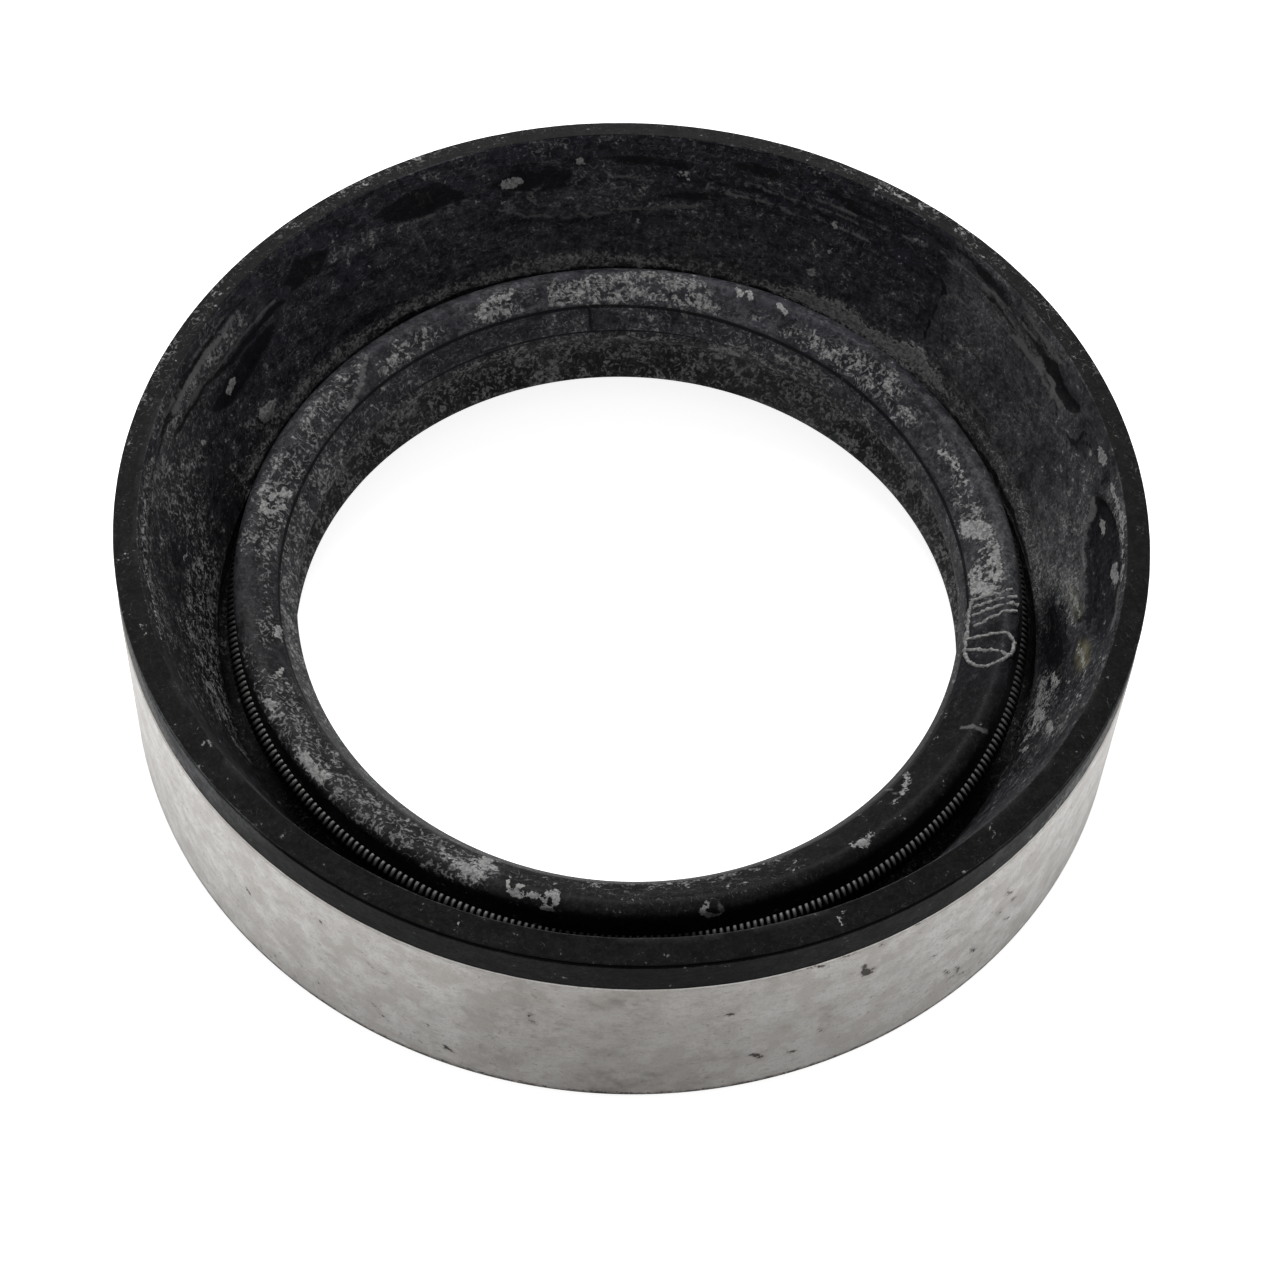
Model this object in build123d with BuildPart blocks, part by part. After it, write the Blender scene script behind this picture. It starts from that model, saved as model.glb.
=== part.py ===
from build123d import *
import math
import os

# Radial shaft seal for a 48 mm shaft: a ground steel case, a moulded sealing element and a
# garter spring. Sizes are in millimetres. The seal lies on its closed side with its axis on Z,
# and its open side, where the spring shows, faces up. Sections are drawn as (radius, height).

# Steel case, a drawn cup with its outside ground to size.
case_radius = 36.0
case_height = 15.9
case_wall = 1.25
case_corner_radius = 1.1
case_inner_corner_radius = 0.6

# The thinner wall at the open end of the case, which the rubber nose covers.
nose_wall = 0.85
nose_skin = 0.85
nose_ramp_height = 0.6

# Rim of the rubber nose, with a fine notch under its outer edge.
rim_height = 19.7
rim_width = 1.7
rim_slope = 16.0
rim_cover = 1.5
rim_recess = 0.06
rim_notch_depth = 0.2
rim_notch_width = 0.5

# Lining inside the cup, and the gutter between its foot and the sealing lip.
lining_foot_thickness = 5.1
lining_foot_height = 6.8
lining_undercut = 0.25
gutter_width = 1.4
gutter_floor_height = 2.75
gutter_corner_radius = 0.8

# Garter spring, and how deep its middle lies behind the lip's flank.
spring_height = 8.1
spring_coil_radius = 1.1
spring_depth = 0.35
spring_seat_clearance = 0.0

# Sealing lip.
lip_width = 4.4
lip_flank_height = 1.8
lip_crown_radius = 0.95
lip_face_slope = 34.0
lip_face_step = 0.2
lip_tip_width = 1.25
lip_foot_height = 0.2
lip_underside_slope = 40.0
lip_back_slope = 52.5
contact_rise = 0.1
contact_length = 0.5

# Neck that carries the lip, dust lip on its inside, and heel under both.
neck_setback = 1.65
neck_wall = 1.35
dust_lip_clearance = 0.4
dust_lip_height = 3.1
dust_lip_tip = 0.3
dust_lip_root_height = 5.3
dust_lip_root_thickness = 1.8
flange_setback = 2.0
heel_overhang = 1.0
heel_height = 2.0
heel_flare = 0.2
heel_clearance = 0.15

# Radii that follow, from the case inwards.
case_bore_radius = case_radius - case_wall
nose_wall_radius = case_radius - nose_skin
nose_bore_radius = nose_wall_radius - nose_wall
nose_radius = case_radius - rim_recess
rim_inner_radius = nose_radius - rim_width
lining_foot_radius = case_bore_radius - lining_foot_thickness
gutter_radius = lining_foot_radius + lining_undercut
lip_flank_radius = lining_foot_radius - gutter_width
spring_ring_radius = lip_flank_radius - spring_depth
spring_seat_radius = spring_coil_radius + spring_seat_clearance
contact_radius = lip_flank_radius - lip_width
lip_face_inner_radius = contact_radius + lip_tip_width
neck_inner_radius = contact_radius + neck_setback
neck_outer_radius = neck_inner_radius + neck_wall
dust_lip_radius = contact_radius + dust_lip_clearance
flange_bore_radius = neck_inner_radius + flange_setback
heel_radius = flange_bore_radius - heel_overhang

# Heights that follow. The spring carries the lip, so the lip's heights start from it.
nose_wall_height = rim_height - rim_cover
ramp_top_height = case_height - (case_wall + nose_skin - nose_wall) / 2
rim_outer_height = rim_height - rim_width * math.tan(math.radians(rim_slope))
seat_edge_angle = math.degrees(math.acos(spring_depth / spring_seat_radius))
seat_half_height = math.sqrt(spring_seat_radius**2 - spring_depth**2)
lip_crown_height = spring_height + seat_half_height + lip_flank_height
lip_underside_height = spring_height - seat_half_height - lip_foot_height
lip_underside_fall = math.tan(math.radians(lip_underside_slope))
neck_join_height = (
    lip_underside_height - (lip_flank_radius - neck_outer_radius) * lip_underside_fall
)
contact_height = spring_height + contact_rise
neck_top_height = contact_height - neck_setback * math.tan(math.radians(lip_back_slope))
dust_lip_root_foot = dust_lip_root_height - dust_lip_root_thickness
inner_corner_centre = (
    case_bore_radius - case_inner_corner_radius,
    case_wall + case_inner_corner_radius,
)


# Steel case: flange, rounded corner, ground wall, and the stepped wall inside the nose.
with BuildPart() as steel_case:
    with BuildSketch(Plane.XZ):
        with BuildLine():
            corner = CenterArc(
                (case_radius - case_corner_radius, case_corner_radius),
                case_corner_radius,
                start_angle=-90,
                arc_size=90,
            )
            inner_corner = CenterArc(
                inner_corner_centre,
                case_inner_corner_radius,
                start_angle=0,
                arc_size=-90,
            )
            Polyline(
                corner @ 1,
                (case_radius, case_height),
                (nose_wall_radius, case_height),
                (nose_wall_radius, nose_wall_height),
                (nose_bore_radius, nose_wall_height),
                (nose_bore_radius, ramp_top_height),
                (case_bore_radius, ramp_top_height - nose_ramp_height),
                inner_corner @ 0,
            )
            Polyline(
                inner_corner @ 1,
                (flange_bore_radius, case_wall),
                (flange_bore_radius, 0),
                corner @ 0,
            )
        make_face()
    revolve(axis=Axis.Z)

steel_case.part.label = "steel_case"
export_step(steel_case.part, "parts/steel_case.step")


# Sealing element: one moulding that caps the rim, lines the cup and carries both lips.
with BuildPart() as sealing_element:
    with BuildSketch(Plane.XZ):
        with BuildLine():
            # Gutter floor corners, first below the lining and then below the neck.
            lining_corner = CenterArc(
                (gutter_radius - gutter_corner_radius, gutter_floor_height + gutter_corner_radius),
                gutter_corner_radius,
                start_angle=0,
                arc_size=-90,
            )
            neck_corner = CenterArc(
                (neck_outer_radius + gutter_corner_radius, gutter_floor_height + gutter_corner_radius),
                gutter_corner_radius,
                start_angle=-90,
                arc_size=-90,
            )
            Line(lining_corner @ 1, neck_corner @ 0)

            # Seat of the garter spring, open on its outer side, and the rounded crown above it.
            spring_seat = CenterArc(
                (spring_ring_radius, spring_height),
                spring_seat_radius,
                start_angle=-seat_edge_angle,
                arc_size=2 * seat_edge_angle - 360,
            )
            crown = CenterArc(
                (lip_flank_radius - lip_crown_radius, lip_crown_height),
                lip_crown_radius,
                start_angle=0,
                arc_size=90 + lip_face_slope,
            )
            Polyline(
                neck_corner @ 1,
                (neck_outer_radius, neck_join_height),
                (lip_flank_radius, lip_underside_height),
                spring_seat @ 0,
            )
            Line(spring_seat @ 1, crown @ 0)

            # Face, worn contact band, neck, dust lip and heel, down to the flange's edge.
            face_fall = ((crown @ 1).X - lip_face_inner_radius) * math.tan(
                math.radians(lip_face_slope)
            )
            face_foot_height = (crown @ 1).Y - face_fall
            Polyline(
                crown @ 1,
                (lip_face_inner_radius, face_foot_height),
                (lip_face_inner_radius - lip_face_step / 2, face_foot_height - lip_face_step),
                (contact_radius, contact_height + contact_length),
                (contact_radius, contact_height),
                (neck_inner_radius, neck_top_height),
                (neck_inner_radius, dust_lip_root_height),
                (dust_lip_radius, dust_lip_height + dust_lip_tip),
                (dust_lip_radius, dust_lip_height),
                (neck_inner_radius, dust_lip_root_foot),
                (heel_radius, heel_height),
                (heel_radius + heel_flare, heel_clearance),
                (flange_bore_radius, heel_clearance),
                (flange_bore_radius, case_wall),
                (inner_corner_centre[0], case_wall),
            )

            # Bonded side along the steel, then over the rim and down the lining.
            bonded_corner = CenterArc(
                inner_corner_centre,
                case_inner_corner_radius,
                start_angle=-90,
                arc_size=90,
            )
            Polyline(
                bonded_corner @ 1,
                (case_bore_radius, ramp_top_height - nose_ramp_height),
                (nose_bore_radius, ramp_top_height),
                (nose_bore_radius, nose_wall_height),
                (nose_wall_radius, nose_wall_height),
                (nose_wall_radius, case_height),
                (nose_radius, case_height),
                (nose_radius, rim_outer_height - rim_notch_width),
                (nose_radius - rim_notch_depth, rim_outer_height - rim_notch_width / 2),
                (nose_radius, rim_outer_height),
                (rim_inner_radius, rim_height),
                (lining_foot_radius, lining_foot_height),
                (gutter_radius, lining_foot_height - lining_undercut),
                lining_corner @ 0,
            )
        make_face()
    revolve(axis=Axis.Z)

sealing_element.part.label = "sealing_element"
export_step(sealing_element.part, "parts/sealing_element.step")


# Garter spring: the closed ring that its coils fill.
with BuildPart() as garter_spring:
    with BuildSketch(Plane.XZ):
        with Locations((spring_ring_radius, spring_height)):
            Circle(spring_coil_radius)
    revolve(axis=Axis.Z)

garter_spring.part.label = "garter_spring"
export_step(garter_spring.part, "parts/garter_spring.step")
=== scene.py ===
import math

import bpy
import numpy as np
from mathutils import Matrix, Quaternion, Vector, noise


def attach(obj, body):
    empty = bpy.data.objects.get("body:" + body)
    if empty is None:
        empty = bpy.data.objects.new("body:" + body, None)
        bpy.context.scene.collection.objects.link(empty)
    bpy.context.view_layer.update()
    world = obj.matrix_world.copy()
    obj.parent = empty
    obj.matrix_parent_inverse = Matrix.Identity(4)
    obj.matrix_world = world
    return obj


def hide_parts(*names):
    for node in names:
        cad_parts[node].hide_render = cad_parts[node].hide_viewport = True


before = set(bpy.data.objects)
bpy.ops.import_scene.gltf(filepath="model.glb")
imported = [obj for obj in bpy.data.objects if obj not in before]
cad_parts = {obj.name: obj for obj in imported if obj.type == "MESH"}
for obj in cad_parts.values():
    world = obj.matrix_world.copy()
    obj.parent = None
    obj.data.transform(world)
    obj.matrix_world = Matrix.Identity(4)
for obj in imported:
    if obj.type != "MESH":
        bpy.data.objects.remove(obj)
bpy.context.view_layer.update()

mm = 0.001
sectors = 24
sectorSteps = 28
cornerMerge = 1e-6
sectorMerge = 3e-6


# shared modelling steps
def clearSelection():
    if bpy.context.object and bpy.context.object.mode != "OBJECT":
        bpy.ops.object.mode_set(mode="OBJECT")
    bpy.ops.object.select_all(action="DESELECT")


def selectOnly(piece):
    clearSelection()
    piece.select_set(True)
    bpy.context.view_layer.objects.active = piece


def extrudeProfile(name, profile):
    # a plane merged to one point, then pulled out along the closed section
    clearSelection()
    first = Vector((profile[0][0] * mm, 0, profile[0][1] * mm))
    bpy.ops.mesh.primitive_plane_add(size=mm, location=first)
    piece = bpy.context.object
    piece.name = name
    bpy.ops.object.transform_apply(location=True, rotation=True, scale=True)
    bpy.ops.object.mode_set(mode="EDIT")
    bpy.ops.mesh.select_all(action="SELECT")
    bpy.ops.mesh.merge(type="CENTER")
    for (r0, z0), (r1, z1) in zip(profile, profile[1:] + profile[:1]):
        step = ((r1 - r0) * mm, 0, (z1 - z0) * mm)
        bpy.ops.mesh.extrude_region_move(TRANSFORM_OT_translate={"value": step})
    bpy.ops.mesh.select_all(action="SELECT")
    bpy.ops.mesh.remove_doubles(threshold=cornerMerge)
    return piece


def spinRound(piece):
    # one sector is spun, then copied round the axis and joined up
    arc = 2 * math.pi / sectors
    aroundZ = {"center": (0, 0, 0), "axis": (0, 0, 1)}
    bpy.ops.mesh.select_all(action="SELECT")
    bpy.ops.mesh.spin(steps=sectorSteps, angle=arc, **aroundZ)
    bpy.ops.mesh.select_all(action="SELECT")
    bpy.ops.mesh.spin(steps=sectors - 1, angle=arc * (sectors - 1), dupli=True, **aroundZ)
    bpy.ops.mesh.select_all(action="SELECT")
    bpy.ops.mesh.remove_doubles(threshold=sectorMerge)
    bpy.ops.mesh.select_all(action="SELECT")
    bpy.ops.mesh.normals_make_consistent(inside=False)
    bpy.ops.object.mode_set(mode="OBJECT")
    for layer in list(piece.data.uv_layers):
        piece.data.uv_layers.remove(layer)


def layWire(name, radius, lines, closed=False):
    # round wire along each line of (x, y, z, thickness) points, made into a mesh
    curve = bpy.data.curves.new(name, "CURVE")
    curve.dimensions = "3D"
    curve.bevel_depth = radius * mm
    curve.bevel_resolution = 1
    curve.use_fill_caps = not closed
    for line in lines:
        spline = curve.splines.new("POLY")
        spline.points.add(len(line) - 1)
        for point, (x, y, z, thickness) in zip(spline.points, line):
            point.co = (x, y, z, 1)
            point.radius = thickness
        spline.use_cyclic_u = closed
    piece = bpy.data.objects.new(name, curve)
    bpy.context.scene.collection.objects.link(piece)
    selectOnly(piece)
    bpy.ops.object.convert(target="MESH")
    return bpy.context.object


def smoothPiece(piece, degrees):
    selectOnly(piece)
    bpy.ops.object.shade_smooth_by_angle(angle=math.radians(degrees))


def dress(piece, material):
    piece.data.materials.clear()
    piece.data.materials.append(material)


def arcPoints(centre, radius, start, end, count):
    angles = np.radians(np.linspace(start, end, count))
    return [(centre[0] + radius * math.cos(a), centre[1] + radius * math.sin(a)) for a in angles]


def layOut(section, steps):
    # cuts each zone of the section into even steps, and keeps how far along its zone each point is
    rows = []
    for zone in section:
        points = np.array(section[zone], float)
        pieces = np.hypot(*np.diff(points, axis=0).T)
        run = np.concatenate([[0], np.cumsum(pieces)])
        for k, length in enumerate(pieces):
            cuts = max(1, int(round(length / steps[zone])))
            for c in range(cuts):
                f = c / cuts
                r, z = points[k] * (1 - f) + points[k + 1] * f
                rows.append((zone, r, z, run[k] + f * length))
    return rows


def smoothStep(low, high, value):
    t = np.clip((value - low) / (high - low), 0, 1)
    return t * t * (3 - 2 * t)


def around(theta, centre):
    return (theta - centre + 180) % 360 - 180


def strokeWeight(theta, s, radius, width, soft, points):
    # how strongly a stroke or a closed outline through (degrees, mm) points covers each place
    first = points[0][0]
    line = [(around(a, first) * math.pi / 180 * radius, b) for a, b in points]
    x = around(theta, first) * math.pi / 180 * radius
    best = np.hypot(x - line[0][0], s - line[0][1])
    inside = np.zeros(theta.shape, bool)
    for (x0, s0), (x1, s1) in zip(line, line[1:]):
        dx, ds = x1 - x0, s1 - s0
        t = np.clip(((x - x0) * dx + (s - s0) * ds) / (dx * dx + ds * ds or 1), 0, 1)
        best = np.minimum(best, np.hypot(x - x0 - t * dx, s - s0 - t * ds))
        if ds:
            inside ^= ((s0 > s) != (s1 > s)) & (x < x0 + (s - s0) * dx / ds)
    if len(points) > 3 and points[0] == points[-1]:
        best = np.where(inside, -best, best)
    return np.clip(0.5 + (width / 2 - best) / soft, 0, 1)


def levelRound(theta, levels):
    # a level that changes along the turn, given as degrees: level
    return np.interp(theta % 360, list(levels), list(levels.values()), period=360)


def levelMap(theta, s, stations, levels):
    # a pair of levels at each angle, one for each of two places along the zone
    first, second = [levelRound(theta, {a: pair[k] for a, pair in levels.items()}) for k in range(2)]
    f = np.clip((s - stations[0]) / (stations[1] - stations[0]), 0, 1)
    return first * (1 - f) + second * f


def noiseField(points, size, offset):
    # soft noise about 0, its patches about this many mm across
    shift = Vector((offset, offset * 0.7, -offset))
    return np.array([noise.noise(Vector(p) / size + shift) for p in points])


class Surface:
    # reads a spun piece back as rows of its section, so that it can be shaped and marked by zone
    def __init__(self, piece, rows, paints, noises):
        self.piece = piece
        count = len(piece.data.vertices)
        co = np.zeros(count * 3, np.float32)
        piece.data.vertices.foreach_get("co", co)
        self.co = co.reshape(-1, 3).astype(float) / mm
        self.theta = np.degrees(np.arctan2(self.co[:, 1], self.co[:, 0])) % 360
        zones, r, z, along = zip(*rows)
        section = np.stack([r, z], 1)
        flat = np.stack([np.hypot(self.co[:, 0], self.co[:, 1]), self.co[:, 2]], 1)
        row = np.array([np.argmin(((section - p) ** 2).sum(1)) for p in flat])
        self.radius, self.height = section[row].T
        self.along = np.array(along)[row]
        self.zone = np.array(zones)[row]
        tangent = np.roll(section, -1, axis=0) - np.roll(section, 1, axis=0)
        tangent /= np.hypot(*tangent.T)[:, None]
        self.normalR, self.normalZ = tangent[row, 1], -tangent[row, 0]
        self.lift, self.slideR, self.slideZ = np.zeros((3, count))
        self.paint = {name: np.zeros(count) for name in paints}
        self.noise = {}
        for name, (stretch, size, offset) in noises.items():
            self.noise[name] = noiseField(self.co * stretch, size, offset)

    def inZone(self, *names):
        return np.isin(self.zone, names)

    def roughen(self, values, **shares):
        # values made uneven by a share of each noise named
        for name, share in shares.items():
            values = values + share * self.noise[name]
        return values

    def darken(self, name, where, values):
        self.paint[name][where] = np.maximum(self.paint[name][where], values)

    def mark(self, where, theta, s, radius, marks):
        # strokes are (weight, width, soft edge, points), under the name of a paint or of lift
        for name, strokes in marks.items():
            for weight, *shape in strokes:
                cover = strokeWeight(theta[where], s[where], radius, *shape) * weight
                if name == "lift":
                    self.lift[where] += cover
                elif weight < 0:
                    self.paint[name][where] *= 1 + cover
                else:
                    kept = self.paint[name][where]
                    self.paint[name][where] = kept + (1 - kept) * cover

    def write(self):
        r = self.radius + self.slideR + self.lift * self.normalR
        z = self.height + self.slideZ + self.lift * self.normalZ
        a = np.radians(self.theta)
        co = np.stack([r * np.cos(a), r * np.sin(a), z], 1) * mm
        self.piece.data.vertices.foreach_set("co", co.astype(np.float32).ravel())
        for name, values in self.paint.items():
            writeLayer(self.piece, name, np.clip(values, 0, 1))
        self.piece.data.update()


def writeLayer(piece, name, values):
    layer = piece.data.attributes.new(name, "FLOAT", "POINT")
    layer.data.foreach_set("value", values.astype(np.float32))


# material graphs
class Graph:
    def __init__(self, tree):
        self.tree = tree

    def add(self, kind, inputs=None, **settings):
        made = self.tree.nodes.new(kind)
        for key, value in settings.items():
            setattr(made, key, value)
        for key, value in (inputs or {}).items():
            self.feed(made.inputs[key], value)
        return made

    def feed(self, socket, value):
        if isinstance(value, bpy.types.NodeSocket):
            self.tree.links.new(value, socket)
        else:
            socket.default_value = value

    def sum(self, operation, a, b):
        return self.add("ShaderNodeMath", {0: a, 1: b}, operation=operation).outputs[0]

    def plus(self, a, b):
        return self.sum("ADD", a, b)

    def minus(self, a, b):
        return self.sum("SUBTRACT", a, b)

    def times(self, a, b):
        return self.sum("MULTIPLY", a, b)

    def apart(self, a, b):
        return self.sum("ABSOLUTE", self.minus(a, b), 0)

    def between(self, value, low, high, toLow=0.0, toHigh=1.0):
        levels = {"From Min": low, "From Max": high, "To Min": toLow, "To Max": toHigh}
        made = self.add("ShaderNodeMapRange", {"Value": value, **levels}, interpolation_type="SMOOTHSTEP")
        return made.outputs[0]


class Finish(Graph):
    def __init__(self, name):
        self.material = bpy.data.materials.new(name)
        self.material.use_nodes = True
        super().__init__(self.material.node_tree)
        self.tree.nodes.clear()
        self.place = self.add("ShaderNodeTexCoord").outputs["Object"]

    def grain(self, scale, detail=3.0, rough=0.6, stretch=None, distort=0.0):
        vector = self.place
        if stretch:
            vector = self.add("ShaderNodeMapping", {"Vector": vector, "Scale": stretch}).outputs[0]
        levels = {"Scale": scale, "Detail": detail, "Roughness": rough, "Distortion": distort}
        return self.add("ShaderNodeTexNoise", {"Vector": vector, **levels}).outputs["Fac"]

    def layer(self, name):
        return self.add("ShaderNodeAttribute", attribute_name=name).outputs["Fac"]

    def blend(self, amount, first, second):
        first, second = [(*colour, 1) if isinstance(colour, tuple) else colour for colour in (first, second)]
        return self.add("ShaderNodeMix", {0: amount, 6: first, 7: second}, data_type="RGBA").outputs[2]

    def bump(self, height, distance, strength, under=None):
        inputs = {"Height": height, "Distance": distance, "Strength": strength}
        if under is not None:
            inputs["Normal"] = under
        return self.add("ShaderNodeBump", inputs).outputs[0]

    def surface(self, **sockets):
        inputs = {key.replace("_", " "): value for key, value in sockets.items()}
        shader = self.add("ShaderNodeBsdfPrincipled", inputs)
        self.add("ShaderNodeOutputMaterial", {"Surface": shader.outputs[0]})
        return self.material


# sealing element: its moulded section, then wear, dust and residue, with painted shade along some edges and a
# painted sheen on the band's ends
sealMake = {
    "section": {
        "band": [(35.94, 15.9), (35.94, 18.71), (35.72, 18.79), (35.68, 18.95), (35.73, 19.09)]
        + [(35.93, 19.14), (35.92, 19.2)],
        "rim": [(35.88, 19.235), (34.3, 19.68), (34.24, 19.69)],
        "wall": [(34.21, 19.62), (29.65, 6.8)],
        "gutter": [(29.65, 6.8), (29.9, 6.55), (29.9, 3.55)]
        + arcPoints((29.1, 3.55), 0.8, 0, -90, 4)[1:]
        + arcPoints((27.65, 3.55), 0.8, -90, -180, 4)
        + [(26.85, 5.68), (28.25, 6.86), (28.25, 7.057)],
        "seat": arcPoints((27.9, 8.1), 1.1, -71.4, -288.6, 12),
        "face": [(28.25, 9.143), (28.25, 11.12), (28.2, 11.35), (28.08, 11.53), (27.9, 11.66), (27.62, 11.79)]
        + [(27.3, 11.87), (27.05, 11.86), (26.769, 11.738)]
        + [(25.25, 10.712), (25.17, 10.64), (25.09, 10.5), (25.01, 10.4), (24.94, 10.32), (24.1, 9.066)]
        + [(24.04, 8.99), (23.98, 8.87), (23.87, 8.72)],
        "back": [(23.85, 8.68), (23.85, 8.2), (25.5, 6.05), (25.5, 5.3), (24.25, 3.4), (24.25, 3.1)]
        + [(25.5, 3.5), (26.5, 2), (26.7, 0.15), (27.5, 0.15), (27.5, 1.25)],
        "bond": [(27.5, 1.25), (34.15, 1.25), (34.57, 1.43), (34.75, 1.85), (34.75, 14.67)]
        + [(34.3, 15.27), (34.3, 18.2), (35.15, 18.2), (35.15, 15.9), (35.94, 15.9)],
    },
    "steps": {
        "band": 0.45, "rim": 0.4, "wall": 0.31, "gutter": 1.1, "seat": 0.6, "face": 0.265, "back": 0.9,
        "bond": 5.0,
    },
    # stretch along x, y and z, size in mm and offset of each noise
    "noises": {
        "broad": ((1, 1, 1), 5.0, 3.1), "patch": ((1, 1, 1), 1.6, 11.7), "crumb": ((1, 1, 1), 0.6, 27.3),
        "wrinkle": ((0.16, 0.16, 1), 0.9, 5.5),
    },
    "smoothAngle": 38,
    "lipAngle": math.radians(34),
    "faceStart": 1.807,  # how far along its zone the lip's flank ends and its crown begins
}
sealRows = layOut(sealMake["section"], sealMake["steps"])
seal = extrudeProfile("sealingElement", [(r, z) for _, r, z, _ in sealRows])
spinRound(seal)
rubberPaints = ("dust", "film", "dark", "chalk", "line", "warm", "cool")
rubber = Surface(seal, sealRows, rubberPaints, sealMake["noises"])

# marks are (weight, width, soft edge, points), each point an angle and mm along, and an outline that
# comes back to its first point is filled
# lining wall, where s runs down from the rim
leaf = [
    (348, 1.8), (352, 1.3), (358, 1.2), (2, 1.4), (5, 2), (7.5, 2.7), (8.2, 3.4), (7.5, 4.3), (5, 5.2),
    (2, 6), (358, 6.2), (354, 6), (351, 5.4), (348.5, 4.4), (347, 3), (348, 1.8),
]
wedge = [
    (341, 6.2), (344, 6.6), (347.5, 7.8), (351, 8), (355, 8.6), (359, 9), (1.5, 10), (4, 11.4), (8.5, 13.4),
    (358, 13.6), (352, 12.8), (348, 11), (345.5, 9.4), (342.5, 8), (341, 6.2),
]
crackPatch = [
    (24.8, 2.5), (26.2, 1.7), (28, 1.5), (29.4, 1.8), (31.6, 1.5), (31, 2.2), (29, 2.8), (27.4, 2.7),
    (26.2, 3.2), (24.8, 2.5),
]
lowDust = [
    (38, 10.9), (46, 10.4), (47.5, 9.7), (50, 10.4), (56, 10.6), (60, 10.2), (66, 10.2), (72, 10.8),
    (80, 10.8), (82, 11.2), (70, 11.6), (60, 12), (50, 12.2), (42, 12), (38, 10.9),
]
backDust = [
    (80, 10.6), (90, 10.2), (104, 10), (118, 10.3), (132, 10.6), (146, 10.9), (156, 11.6), (164, 12.4),
    (158, 12.9), (146, 12.2), (130, 11.7), (114, 11.4), (98, 11.3), (84, 11.4), (80, 10.6),
]
leftCrumbs = [
    (176, 10.6), (184, 8.4), (192, 8.2), (204, 9.2), (212, 11), (214, 13), (204, 13.5), (190, 13.4),
    (178, 12.6), (176, 10.6),
]
rightDust = [
    (358, 11.8), (6, 11.6), (16, 11.4), (28, 11.2), (38, 11), (40, 12.2), (28, 12.8), (16, 13.4), (4, 13.5),
    (358, 11.8),
]
# painted shade: a dark line on the wall along the outline of the lip's crown at the back, where the gap
# between lip and wall lies in shadow
creviceShade = [
    (10, 13.5), (22, 13.1), (35, 12.75), (45, 12.45), (60, 12), (70, 11.75), (85, 11.5), (100, 11.4),
    (115, 11.5), (130, 11.8), (140, 12.3), (150, 12.7), (162, 13.3),
]
fold = [(144, 4), (146, 3.9), (150, 4.1), (155, 4.15), (160, 3.7), (165, 3.2), (170, 2.9)]
sag = [(82, 5.2), (88, 5.9), (93, 6.3), (98, 6.7), (103, 6.6), (107, 6.1), (111, 5.2)]
longCrack = [(47.8, 4), (47.7, 5.6), (48, 7.2), (47.7, 9.2)]
greyPatch = [(127, 3.3), (132, 2.6), (135, 3.2), (134, 4.2), (129, 4.2), (127, 3.3)]
darkPatches = [
    [(72.5, 1.3), (77, 1.1), (80, 1.6), (77, 2.2), (74, 2.1), (72.5, 1.3)],
    [(84, 1.9), (92, 1.6), (97, 1.8), (92, 2.4), (86, 2.6), (84, 1.9)],
    [(79, 4.1), (86, 4.5), (91, 5.3), (84, 5.1), (79, 4.1)],
    [(101, 2.4), (108, 2), (112, 3), (105, 4.4), (101, 4), (101, 2.4)],
    [(115, 2.7), (119, 1.4), (124, 1.5), (128, 2), (126, 3.2), (121, 3.7), (115, 3.5), (115, 2.7)],
    [(135, 2.6), (140, 1.6), (143, 2.6), (141.5, 3.9), (137, 3.9), (135, 2.6)],
    [(146, 5), (151, 4.8), (158, 4.9), (163, 5.5), (160, 6.7), (154, 6.9), (148, 6), (146, 5)],
]
sealMake["wall"] = {
    "radius": 32.0,
    "filmStations": (4.0, 9.5),
    "film": {
        0: (0.21, 0.46), 20: (0.26, 0.3), 45: (0.27, 0.22), 47.5: (0.25, 0.2), 49: (0.02, 0.17),
        70: (0.01, 0.19), 100: (0.05, 0.16), 130: (0.05, 0.1), 145: (0.07, 0.07), 165: (0.1, 0.06),
        185: (0.07, 0.04), 205: (0.02, 0), 214: (0.01, 0), 222: (0.01, 0), 226: (0.08, 0.06),
        290: (0.1, 0.08), 330: (0.08, 0.06), 345: (0.12, 0.06),
    },
    "dust": {
        0: 0.36, 20: 0.2, 45: 0.24, 49: 0.2, 100: 0.22, 130: 0.17, 150: 0.22, 165: 0.26, 180: 0.32,
        205: 0.26, 214: 0.08, 290: 0.12, 330: 0.2,
    },
    "cool": {
        0: 0.45, 40: 0.55, 60: 0.8, 95: 0.8, 110: 1, 145: 0.95, 165: 0.5, 200: 0.2, 230: 0.2, 330: 0.35,
    },
}
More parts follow.
